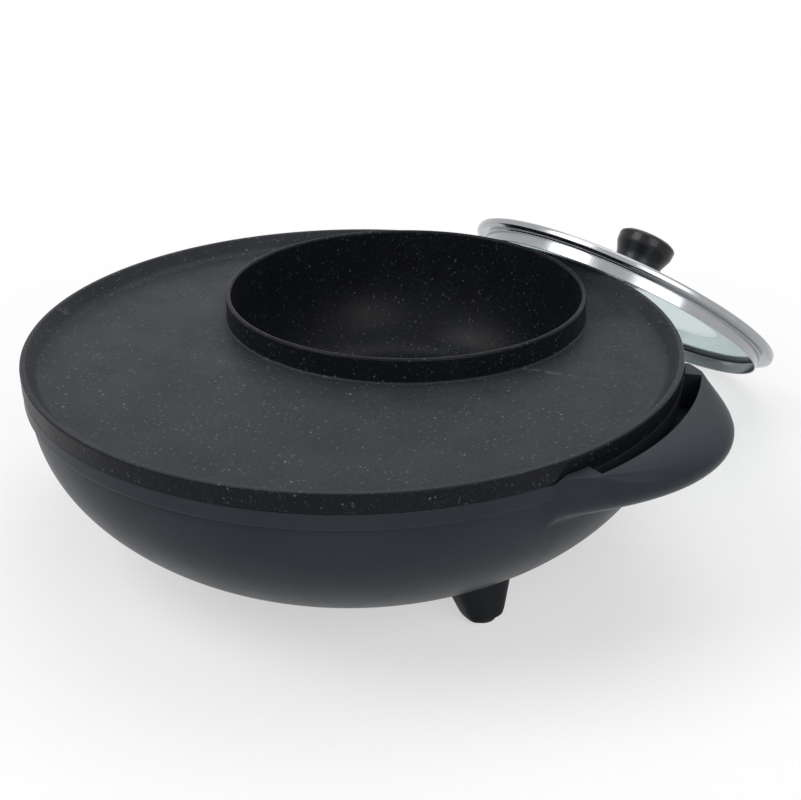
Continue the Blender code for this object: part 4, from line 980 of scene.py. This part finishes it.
def housing():
    """Bowl with its faired grip, panel frame, inlet boss, ledge and screw bosses."""
    shell = housing_shell()
    cut(shell, slot_cutter())
    fuse(shell, block(panel_place, PANEL_SIZE, PANEL_FRAME, PANEL_FRAME_DEPTH, FRAME_CORNER, FRAME_EDGES[0]),
         block(inlet_place, INLET_FLANGE, INLET_BOSS_WALL, INLET_BOSS_DEPTH, FRAME_CORNER, FRAME_EDGES[0]))
    cut(shell, housing_cavity())
    cut(shell,
        block(panel_place, PANEL_SIZE, SEAT_GAP, PANEL_SIZE[2] + SEAT_GAP, PANEL_CORNER, proud=OVERRUN),
        block(panel_place, PANEL_SIZE, -PANEL_LIP, PANEL_FRAME_DEPTH + OVERRUN, PANEL_CORNERS[1]),
        block(inlet_place, INLET_FLANGE, SEAT_GAP, INLET_FLANGE[2] + SEAT_GAP, INLET_ROOM_CORNERS[0],
              proud=OVERRUN),
        block(inlet_place, INLET_SIZE, SEAT_GAP, INLET_BOSS_DEPTH + OVERRUN, INLET_ROOM_CORNERS[1]))
    holes = [post(HOLE_RADIUS, polar(FOOT_CENTRES[1], degrees), -OVERRUN, FOOT_HOLE_TOP, HOLE_SIDES)
             for degrees in FOOT_AZIMUTHS.values()]
    holes += [post(HOLE_RADIUS, polar(COVER_SCREW_CIRCLE, degrees), -OVERRUN, COVER_HOLE_TOPS[1], HOLE_SIDES)
              for degrees in COVER_SCREW_AZIMUTHS]
    holes += [panel_rod(HOLE_RADIUS, side, depth=PANEL_HOLE_DEPTH, count=HOLE_SIDES)
              for side in (-PANEL_SCREW_SIDE, PANEL_SCREW_SIDE)]
    cut(shell, *holes)
    shell.name = "housing"
    finish(shell, "base", "slate_plastic", "base_housing", sharp=34.0)


# Feet, pads and screws

def foot_levels(degrees):
    """Rings of a tapered foot with soft corners, narrowing once more round its sole."""
    shares = [(FOOT_STRAIGHT_SHARE * step / 14, 0.0) for step in range(14)]
    shares += [(mix(FOOT_STRAIGHT_SHARE, 1.0, sin(angle)), FOOT_SOLE_SHARE * (1.0 - cos(angle)))
               for angle in quarter(4)]
    turned = Matrix.Rotation(radians(degrees), 3, "Z")
    levels = []
    for share, sole_share in shares:
        deep = mix(*FOOT_DEPTHS, share + sole_share) / 2
        wide = mix(*FOOT_WIDTHS, share + sole_share) / 2
        ring = []
        for turn in range(72):
            out, across, _ = polar(1.0, 5.0 * turn)
            out = mix(*FOOT_CENTRES, share) + copysign(abs(out) ** FOOT_POWER, out) * deep
            across = copysign(abs(across) ** FOOT_POWER, across) * wide
            ring.append(turned @ Vector((out, across, mix(FOOT_TOP, SOLE, share))))
        levels.append(ring)
    return levels


def foot(side, degrees):
    """Foot cut to the bowl, with its pad and its screw."""
    part = loft(f"foot_piece_{side}", foot_levels(degrees))
    place = polar(FOOT_CENTRES[1], degrees)
    seat = SOLE + PAD_RECESS
    clear = [(0.0, HOUSING_TOP), (BOWL_RADIUS + SEAT_GAP, HOUSING_TOP)] + bowl_curve(-SEAT_GAP)
    cut(part, lathe("foot_clearance", clear + [(0.0, -SEAT_GAP)], CAVITY_SIDES),
        post(PAD_RADIUS + SEAT_GAP, place, SOLE - OVERRUN, seat),
        post(HEAD_ROOM, place, SOLE - FOOT_ROOM_OVERRUN, seat + SCREW_HEAD[1] + SEAT_GAP),
        post(HOLE_RADIUS, place, SOLE, FOOT_HOLE_TOP))
    finish(part, "base", "foot_plastic", f"foot_{side}", sharp=40.0)
    top = seat - SEAT_GAP
    corners = [(0.0, top), (PAD_RADIUS, top), (PAD_RADIUS, GROUND)] + pressed_ring(*PAD_RING, *PAD_DENT)
    corners += pressed_ring(0.0, PAD_EYE, *PAD_DENT)[:2] + [(0.0, GROUND + PAD_DENT[2])]
    pad = lathe(f"foot_pad_piece_{side}", soften(corners, PAD_ROUNDS), 56)
    finish(move(pad, Matrix.Translation(place)), "base", "pad_rubber", f"foot_pad_{side}")
    screw(f"foot_screw_{side}", (place.x, place.y, seat + SCREW_HEAD[1]), FOOT_SCREW_LENGTH)


def screw(name, seat, length, away=DOWN, body="base", frame=Matrix()):
    """Pan-head screw with a cross recess and a threaded look to its shank."""
    head, height = SCREW_HEAD
    outline = soften([(0.0, height - 2 * HEAD_DISH), (head * HEAD_CROWN_SHARE, height - HEAD_DISH),
                      (head, height * HEAD_SIDE_SHARE), (head, 0.0), (SCREW_RADIUS, 0.0)], HEAD_ROUNDS)
    turns = max(2, int(length / THREAD_PITCH))
    for turn in range(turns):
        low = -length * (turn + 0.5) / turns
        outline += [(SCREW_RADIUS * THREAD_ROOT_SHARE, low + length * THREAD_RUN_SHARES[0] / turns),
                    (SCREW_RADIUS, low - length * THREAD_RUN_SHARES[1] / turns)]
    piece_name = name.replace("knob_screw", "screw").replace("screw", "screw_piece")
    outline += [(SCREW_RADIUS * SCREW_TIP_SHARE, -length), (0.0, -length)]
    part = lathe(piece_name, outline, 32)
    width, depth, tall = CROSS_RECESS
    for angle in (0.0, pi / 2):
        slot = slab("cross", (head * CROSS_SHARE, width, tall), CROSS_CORNER, low=height - depth)
        cut(part, move(slot, Matrix.Rotation(angle, 4, "Z")))
    move(part, frame @ Matrix.Translation(seat) @ Vector(away).to_track_quat("Z", "Y").to_matrix().to_4x4())
    finish(part, body, "screw_steel", name)


def underside():
    """Bottom cover with its pressed rings and spokes, and its screws."""
    corners = [(0.0, COVER_THICKNESS), (COVER_RADIUS, COVER_THICKNESS), (COVER_RADIUS, 0.0)]
    for radius in COVER_RING_RADII:
        corners += pressed_ring(radius, *COVER_RING)
    cover = lathe("cover_piece", soften(corners + [(0.0, 0.0)], COVER_ROUNDS))
    tools = []
    length, width, depth = COVER_SLOT
    for step in range(COVER_SLOTS):
        slot = slab("slot", (length, width, OVERRUN + depth), depth, low=-OVERRUN)
        turn = Matrix.Rotation(tau * (step + 0.5) / COVER_SLOTS, 4, "Z")
        tools.append(move(slot, turn @ Matrix.Translation((COVER_SLOT_CIRCLE, 0.0, 0.0))))
    for number, degrees in enumerate(COVER_SCREW_AZIMUTHS, 1):
        place = polar(COVER_SCREW_CIRCLE, degrees)
        tools.append(post(HEAD_ROOM, place, -OVERRUN, COVER_SCREW_SEAT + SEAT_GAP))
        tools.append(post(HOLE_RADIUS, place, 0.0, COVER_HOLE_TOPS[0]))
        screw(f"cover_screw_{number}", (place.x, place.y, COVER_SCREW_SEAT), COVER_SCREW_LENGTH)
    cut(cover, *tools)
    finish(cover, "base", "cover_plastic", "bottom_cover")


# Control panel

def printed(obj, place):
    finish(move(obj, place), "base", "white_print", weighted=False)


def figure(name, number, place):
    curve = bpy.data.curves.new(name, "FONT")
    curve.body = str(number)
    curve.size = FIGURE_SIZE
    curve.align_x = "CENTER"
    curve.align_y = "CENTER"
    curve.extrude = FIGURE_DEPTH
    curve.offset = FIGURE_WEIGHT
    label = new_object(name, curve)
    data = evaluated(label)
    bpy.data.objects.remove(label, do_unlink=True)
    printed(new_object(name, data), place)


def control_panel():
    """Panel with ringed dial seats, and what it carries: scales, dials, lamps and screws."""
    panel = slab("panel_piece", PANEL_SIZE, PANEL_CORNERS[0], PANEL_EDGE)
    move(panel, panel_place(PANEL_SIZE[2]))
    middle, half, rise = SEAT_RING
    ring = [(middle - half, -half), (middle + half, -half), (middle + half, rise), (middle - half, rise)]
    tools = []
    for side in (-DIAL_SIDE, DIAL_SIDE):
        tools.append(panel_rod(SHAFT_RADIUS + SHAFT_GAP, side))
        tools.append(move(lathe("seat_ring", ring, 96, loop=True), panel_place(0.0, side)))
    tools += [panel_rod(LAMP_RADIUS + SEAT_GAP, side, LAMP_HEIGHT) for side in (-LAMP_SIDE, LAMP_SIDE)]
    screw_sides = (-PANEL_SCREW_SIDE, PANEL_SCREW_SIDE)
    cut(panel, *tools, *[panel_rod(HOLE_RADIUS, side, count=HOLE_SIDES) for side in screw_sides])
    finish(panel, "base", "panel_plastic", "control_panel")
    for number, side in enumerate(screw_sides, 1):
        screw(f"panel_screw_{number}", (-PANEL_FACE - SEAT_GAP, side, PANEL_HEIGHT), PANEL_SCREW_LENGTH,
              (-1.0, 0.0, 0.0))
    for element, side in (("grill", -1), ("pot", 1)):
        scale_marks(element, side)
        dial(element, side * DIAL_SIDE)
        lamp(element, side * LAMP_SIDE)


def sign_outlines(element):
    """Plain signs: three bars for the grill plate, a bowl for the pot."""
    if element == "grill":
        bar = rounded_rectangle(SIGN_WIDTH, SIGN_BAR, SIGN_BAR / 2)
        return [[(x, y + row * SIGN_BAR) for x, y in bar] for row in (-2, 0, 2)]
    angles = [pi * step / 16 for step in range(17)]
    bowl = [(SIGN_BOWL[0] * cos(angle), SIGN_BAR - SIGN_BOWL[1] * sin(angle)) for angle in angles]
    rim = [(SIGN_WIDTH / 2, 2 * SIGN_BAR), (SIGN_WIDTH / 2, SIGN_BAR)]
    return [rim + bowl + [(-x, y) for x, y in reversed(rim)]]


def scale_marks(element, side):
    """Figures 0 to 5 round a dial, with ticks between them, and the element's plain sign above its lamp."""
    face = panel_place(-PRINT_LIFT, side * DIAL_SIDE)
    for number in range(6):
        spot = polar(SCALE_RADIUS, SCALE_START + SCALE_STEP * number)
        figure(f"{element}_scale_{number}", number, face @ Matrix.Translation(spot))
    mesh = bmesh.new()
    for step in range(20):
        if step % 4:
            turn = Matrix.Rotation(radians(SCALE_START + SCALE_STEP * step / 4), 4, "Z")
            tick = Matrix.Translation((SCALE_RADIUS, 0.0, PRINT_DEPTH / 2)) @ Matrix.Diagonal(SCALE_TICK)
            bmesh.ops.create_cube(mesh, size=1.0, matrix=turn @ tick)
    printed(as_object(mesh, f"{element}_scale_ticks"), face)
    mesh = bmesh.new()
    for outline in sign_outlines(element):
        add_solid(mesh, [level(outline, height) for height in (0.0, PRINT_DEPTH)])
    place = panel_place(-PRINT_LIFT, side * LAMP_SIDE, LAMP_HEIGHT + SIGN_RISE)
    printed(as_object(mesh, f"{element}_sign"), place)


def dial_body(name):
    """Fluted and dished dial with a raised finger bar, its bore and the groove for its pointer."""
    rings = []
    corners = [(DIAL_RADIUS, 0.0), (DIAL_RADIUS, DIAL_BODY * DIAL_SIDE_SHARE),
               (DIAL_RADIUS * DIAL_TOP_SHARE, DIAL_BODY)]
    fade_foot = DIAL_BODY * FLUTE_FADE_SHARE
    for radius, height in soften(corners, DIAL_ROUNDS, 5):
        ring = []
        for step in range(DIAL_SIDES):
            turn = 360.0 * step / DIAL_SIDES
            flute = FLUTE_DEPTH * (0.5 + 0.5 * cos(radians(FLUTES * turn)))
            ring.append(polar(radius - flute * smooth(DIAL_BODY, fade_foot, height), turn, height))
        rings.append(ring)
    part = loft(name, rings)
    low, high = DIAL_BODY - DISH_DEPTH, DIAL_BODY + DISH_RISE
    dish = soften([(0.0, low), (DISH_RADII[0], low), (DISH_RADII[1], high), (0.0, high)], DISH_ROUNDS, 4)
    cut(part, lathe("dish", dish, 96))
    bar_foot = DIAL_BODY * BAR_FOOT_SHARE
    bar_size = (BAR_WIDTH, DIAL_RADIUS * BAR_LENGTH_SHARE, DIAL_LENGTH - bar_foot)
    fuse(part, slab("bar", bar_size, BAR_CORNER, BAR_EDGE, bar_foot))
    groove = slab("groove", POINTER_GROOVE, POINTER_CORNERS[1], low=DIAL_LENGTH - GROOVE_SINK)
    bore = post(SHAFT_RADIUS + SEAT_GAP, (0.0, 0.0), *BORE_ENDS)
    cut(part, bore, shift(groove, y=DIAL_RADIUS * POINTER_PLACE_SHARE))
    return part


def dial(element, side):
    body = f"{element}_control"
    frame = panel_place(-DIAL_GAP, side)
    part = move(dial_body(f"{element}_dial_piece"), frame)
    finish(part, body, "dial_plastic", f"{element}_dial", sharp=36.0)
    foot_height = DIAL_LENGTH - POINTER_SINK
    line = slab(f"{element}_dial_pointer", POINTER_SIZE, POINTER_CORNERS[0], POINTER_EDGE, foot_height)
    shift(line, y=DIAL_RADIUS * POINTER_PLACE_SHARE)
    finish(move(line, frame), body, "white_print")
    low, high = SHAFT_ENDS
    outline = soften(plug(SHAFT_RADIUS, low, high), SHAFT_ROUNDS)
    shaft = lathe(f"{element}_shaft_piece", outline, 48)
    flat = slab("flat", SHAFT_FLAT, CROSS_CORNER, low=-SHAFT_FLAT[2])
    cut(shaft, shift(flat, y=SHAFT_RADIUS + SHAFT_GAP))
    move(shaft, panel_place(0.0, side) @ Matrix.Rotation(pi, 4, "X"))
    finish(shaft, body, "polished_steel", f"{element}_dial_shaft")


def lamp(element, side):
    """Domed lens with its stem."""
    outline = soften([(0.0, LAMP_RISES[0]), (LAMP_RADIUS * LAMP_CROWN_SHARE, LAMP_RISES[1]),
                      (LAMP_RADIUS + LAMP_RIM[0], LAMP_RISES[2]), (LAMP_RADIUS + LAMP_RIM[1], 0.0),
                      (LAMP_RADIUS, 0.0), (LAMP_RADIUS, -LAMP_STEM), (0.0, -LAMP_STEM)], LAMP_ROUNDS)
    lens = move(lathe(f"{element}_lamp_piece", outline, 48), panel_place(-SEAT_GAP, side, LAMP_HEIGHT))
    finish(lens, "base", "lamp_plastic", f"{element}_lamp_lens")


def power_inlet():
    """Shrouded inlet with a bevelled flange and rounded pins."""
    body = slab("inlet_piece", INLET_SIZE, INLET_CORNERS[0], INLET_EDGES[0], -INLET_SIZE[2])
    fuse(body, slab("flange", INLET_FLANGE, INLET_CORNERS[1], INLET_EDGES[1], -INLET_FLANGE[2]))
    width, height, depth = INLET_MOUTH
    mouth = slab("mouth", (width, height, depth + OVERRUN), INLET_CORNERS[2], low=-depth)
    sides = (-PIN_SPACING, 0.0, PIN_SPACING)
    rooms = [shift(slab("pin_room", PIN_ROOM, PIN_ROOM_CORNER, low=-PIN_ROOM_FOOT), side) for side in sides]
    cut(body, mouth, *rooms)
    finish(move(body, inlet_place()), "base", "inlet_plastic", "power_inlet")
    for number, side in enumerate(sides, 1):
        pin = slab(f"inlet_pin_piece_{number}", PIN_SIZE, PIN_ROUND, PIN_ROUND, -PIN_FOOT)
        finish(move(pin, inlet_place(0.0, side)), "base", "polished_steel", f"inlet_pin_{number}")


# Parts inside

def shield_well(offset, sheet, top):
    """Solid outline of the shield's well around the pot, down to the cup for the pot's element."""
    wall = [point for point in pot_curve(offset, POT_UNDER - offset, 36) if point[1] < top]
    low = SHIELD_FLOOR - sheet
    corners = [(0.0, top), (POT_RADIUS + offset, top)] + wall + [(SHIELD_CUP + sheet, low), (0.0, low)]
    return soften(corners, [0.0] * (len(corners) - 3) + list(SHIELD_ROUNDS), 6)


def heat_shield():
    """Pressed steel pan between the plate and the housing, with its well around the pot."""
    edge = bowl_radius(SHIELD_UNDER, HOUSING_WALL) - SHIELD_EDGE_GAP
    top = SHIELD_UNDER + SHIELD_SHEET
    disc = lathe("heat_shield_piece", plug(edge, top, SHIELD_UNDER), POT_SIDES)
    outer = shield_well(SHIELD_POT_GAP + SHIELD_SHEET, SHIELD_SHEET, top - SHIELD_SHEET / 2)
    fuse(disc, lathe("shield_well", outer, 160, POT_CENTRE))
    cut(disc, lathe("shield_hollow", shield_well(SHIELD_POT_GAP, 0.0, FLOOR_UNDER), 160, POT_CENTRE))
    finish(disc, "base", "shield_steel", "heat_shield", sharp=34.0)


def heaters():
    """Smooth tubes: two arcs joined by a bend under the plate, and an open ring under the pot."""
    height = FLOOR_UNDER - SEAT_GAP - HEATER_RADIUS
    far, near = GRILL_HEATER_RADII
    start, end = GRILL_HEATER_TURNS
    path = arc(far, (start, end), height, 90)
    hub = polar((far + near) / 2, end, height)
    path += [hub + polar((far - near) / 2, end + 7.5 * step) for step in range(1, 24)]
    path += arc(near, (end, start), height, 60)
    centre = Vector((*POT_CENTRE, POT_UNDER - SEAT_GAP - HEATER_RADIUS))
    ring = [centre + point for point in arc(POT_HEATER_RADIUS, POT_HEATER_TURNS, 0.0, 120)]
    for name, way in (("grill_heater", path), ("pot_heater", ring)):
        finish(tube(f"{name}_piece", way, HEATER_RADIUS, 24), "base", "heater_sheath", name)


def carried_nodes(frame):
    """Give every CAD node that stays its own finished material."""
    kinds = {"clip": "clip_steel", "thermostat": "thermostat_body", "sensor": "sensor_copper",
             "terminal_block": "white_ceramic", "thermal_fuse": "white_ceramic", "earth": "earth_lead_sleeve",
             "live": "live_lead_sleeve", "neutral": "neutral_lead_sleeve", "washer": "washer_silicone"}
    for name, obj in frame["nodes"].items():
        for kind, look in kinds.items():
            if kind in name:
                shade(obj.data, look, 35.0)


# Lid

def lid_frame():
    out = polar(1.0, LID_BEARING)
    axis = out * cos(LID_SLOPE) + Vector((0.0, 0.0, sin(LID_SLOPE)))
    along = Vector((out.y, -out.x, 0.0))
    frame = Matrix((along, axis.cross(along), axis)).transposed().to_4x4()
    frame.translation = out * LID_CENTRE_RADIUS
    frame.translation.z = GROUND + LID_STAND_GAP + LID_SKIRT * cos(LID_SLOPE)
    return frame


def glass_height(radius):
    edge = LID_RADIUS - LID_BEAD
    return LID_FLANGE + SEAT_GAP + LID_DOME * (1.0 - (radius / edge) ** 2)


def lid_band(frame):
    """Steel band with a rolled bead, from its skirt to the land on the glass."""
    edge = LID_RADIUS - LID_BEAD
    fold = edge - BEAD_FOLD_INSET
    land = LID_RADIUS - LID_LAND
    inner = LID_SKIRT - LID_SHEET
    over = LID_GLASS + SEAT_GAP
    band = soften([
        (LID_SKIRT, 0.0), (LID_SKIRT, LID_FLANGE - LID_SHEET),
        (edge - BEAD_FOOT_INSET, LID_FLANGE - LID_SHEET), (LID_RADIUS, LID_FLANGE + BEAD_FOOT_RISE),
        (LID_RADIUS, glass_height(edge) + LID_GLASS + BEAD_TOP_RISE),
        (fold, glass_height(fold) + over + LID_SHEET), (land, glass_height(land) + over + LID_SHEET),
        (land, glass_height(land) + over), (edge, glass_height(edge) + over), (edge, LID_FLANGE),
        (inner, LID_FLANGE), (inner, 0.0),
    ], LID_BAND_ROUNDS, 6)
    piece = move(lathe("lid_band", band, LID_SIDES, loop=True), frame)
    finish(piece, "lid", "lid_steel", "lid_rim")


def lid_dome(frame, vent_place):
    """Domed glass with its vent hole and its dark margin under the band."""
    land = LID_RADIUS - LID_LAND
    radii = [mix(GLASS_BORE, land, step / 24) for step in range(25)] + [LID_RADIUS - LID_BEAD - SEAT_GAP]
    glass = [(radius, glass_height(radius)) for radius in radii]
    glass += [(radius, height + LID_GLASS) for radius, height in reversed(glass)]
    dome = lathe("lid_dome", glass, LID_SIDES, loop=True)
    cut(dome, move(post(VENT_NECK + SEAT_GAP, (0.0, 0.0), -LID_GLASS, 2 * LID_GLASS), vent_place))
    in_margin = [hypot(face.center.x, face.center.y) > land for face in dome.data.polygons]
    finish(move(dome, frame), "lid", "lid_glass_clear", "lid_glass", sharp=45.0)
    dome.data.materials.append(LOOKS["glass_margin"])
    for face, hidden in zip(dome.data.polygons, in_margin):
        face.material_index = int(hidden)


def lid_vent(place):
    """Steel eyelet through the glass."""
    low = LID_GLASS + SEAT_GAP
    top = low + VENT_RISES[1]
    outline = soften([(VENT_RADIUS, low), (VENT_RADIUS, low + VENT_RISES[0]), (VENT_NECK, top),
                      (VENT_BORE, top), (VENT_BORE, 0.0), (VENT_NECK, 0.0), (VENT_NECK, low)],
                     VENT_ROUNDS, 4)
    piece = lathe("lid_vent_piece", outline, 64, loop=True)
    finish(move(piece, place), "lid", "polished_steel", "lid_vent")


def lid_knob(frame):
    """Flared knob with a crowned top, a slim waist and a collar at its foot."""
    foot_height = glass_height(0.0) + LID_GLASS + SEAT_GAP
    top = foot_height + KNOB_HEIGHT
    crown = KNOB_TOP * KNOB_CROWN_SHARE
    outline = [(crown * step / 8, top - KNOB_CROWN * (step / 8) ** 2) for step in range(9)]
    outline += soften([
        (crown, top - KNOB_CROWN),
        (KNOB_TOP, top - KNOB_SHOULDER),
        (KNOB_TOP * KNOB_FLARE_SHARES[0], top - KNOB_HEIGHT * KNOB_DEPTH_SHARES[0]),
        (KNOB_WAIST * KNOB_FLARE_SHARES[1], top - KNOB_HEIGHT * KNOB_DEPTH_SHARES[1]),
        (KNOB_WAIST, top - KNOB_HEIGHT * KNOB_DEPTH_SHARES[2]),
        (KNOB_BASE, foot_height + KNOB_COLLAR),
        (KNOB_BASE, foot_height),
        (HOLE_RADIUS, foot_height),
    ], KNOB_ROUNDS, 8)[1:]
    outline += [(HOLE_RADIUS, foot_height + KNOB_BORE_DEPTH), (0.0, foot_height + KNOB_BORE_DEPTH)]
    finish(move(lathe("lid_knob_piece", outline, 128), frame), "lid", "knob_plastic", "lid_knob", sharp=40.0)


def lid():
    """Glass lid with its band, knob, vent, knob screw and washer."""
    frame = lid_frame()
    lid_band(frame)
    slope = atan(2 * LID_DOME * VENT_OFFSET / (LID_RADIUS - LID_BEAD) ** 2)
    vent_place = Matrix.Translation((VENT_OFFSET, 0.0, glass_height(VENT_OFFSET)))
    vent_place @= Matrix.Rotation(slope, 4, "Y")
    lid_dome(frame, vent_place)
    lid_knob(frame)
    lid_vent(frame @ vent_place)
    top = glass_height(0.0) - SEAT_GAP
    low = top - WASHER_THICKNESS
    screw("lid_knob_screw", (0.0, 0.0, low - SEAT_GAP), LID_SCREW_LENGTH, body="lid", frame=frame)
    outline = soften([(WASHER_RADIUS, top), (WASHER_RADIUS, low), (GLASS_BORE, low), (GLASS_BORE, top)],
                     WASHER_ROUNDS)
    washer = lathe("lid_washer_piece", outline, 64, loop=True)
    finish(move(washer, frame), "lid", "washer_silicone", "lid_knob_washer")


# Setting

def camera():
    data = bpy.data.cameras.new("view")
    data.lens = CAMERA_LENS
    data.sensor_width = CAMERA_SENSOR
    obj = new_object("view", data)
    obj.location = CAMERA_PLACE
    obj.rotation_euler = (CAMERA_TILT, 0.0, CAMERA_TURN)
    bpy.context.scene.camera = obj


def studio_lamp(name, place, size, power):
    data = bpy.data.lights.new(name, "AREA")
    data.shape = "RECTANGLE"
    data.size = size
    data.size_y = size
    data.energy = power
    obj = new_object(name, data)
    obj.location = place
    obj.rotation_euler = (LAMP_TARGET - Vector(place)).to_track_quat("-Z", "Y").to_euler()


def seen_white(tree):
    """Share of the rays that see the plain white setting: straight, mirrored or through glass."""
    path = node(tree, "LightPath")
    seen = sums(tree, "MAXIMUM", path.outputs["Is Camera Ray"], path.outputs["Is Glossy Ray"])
    return sums(tree, "MAXIMUM", seen, path.outputs["Is Transmission Ray"])


def surroundings():
    """White to the eye, softer as a light."""
    world = bpy.data.worlds.new("studio")
    bpy.context.scene.world = world
    world.use_nodes = True
    tree = world.node_tree
    ambient = tree.nodes["Background"]
    ambient.inputs["Color"].default_value = (0.93, 0.95, 1.0, 1.0)
    ambient.inputs["Strength"].default_value = 0.42
    white = node(tree, "Background", {"Color": WHITE, "Strength": 1.0})
    both = node(tree, "MixShader", {0: seen_white(tree), 1: ambient.outputs[0], 2: white.outputs[0]})
    tree.links.new(both.outputs[0], tree.nodes["World Output"].inputs["Surface"])


def pale_floor():
    """Floor that keeps the shadow near the object and turns plain white further out."""
    mesh = bmesh.new()
    bmesh.ops.create_circle(mesh, cap_ends=True, segments=96, radius=FLOOR_RADIUS)
    floor = as_object(mesh, "floor")
    floor.location.z = GROUND
    tree, shader = new_material("pale_floor", Roughness=0.9, Specular_IOR_Level=0.1)
    place = coordinates(tree)
    base = blend(tree, ramp(tree, noise(tree, place, 90.0), 0.3, 0.7), (0.89, 0.89, 0.89), (0.91, 0.91, 0.91))
    tree.links.new(base, shader.inputs["Base Color"])
    away = node(tree, "VectorMath", {0: place}, operation="LENGTH").outputs["Value"]
    share = sums(tree, "MULTIPLY", ramp(tree, away, 0.30, 0.62, 0.55, 1.0), seen_white(tree))
    glow = node(tree, "Emission", {"Color": WHITE, "Strength": 1.0})
    both = node(tree, "MixShader", {0: share, 1: shader.outputs[0], 2: glow.outputs[0]})
    tree.links.new(both.outputs[0], tree.nodes["Material Output"].inputs["Surface"])
    floor.data.materials.append(LOOKS["pale_floor"])


def setting():
    surroundings()
    pale_floor()
    for name, (place, size, power) in LAMPS.items():
        studio_lamp(name, place, size, power)
    bpy.context.scene.view_settings.view_transform = "Standard"


def main():
    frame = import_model()
    camera()
    setting()
    make_materials()
    carried_nodes(frame)
    cooking_plate()
    housing()
    for side, degrees in FOOT_AZIMUTHS.items():
        foot(side, degrees)
    underside()
    control_panel()
    power_inlet()
    heat_shield()
    heaters()
    lid()


main()
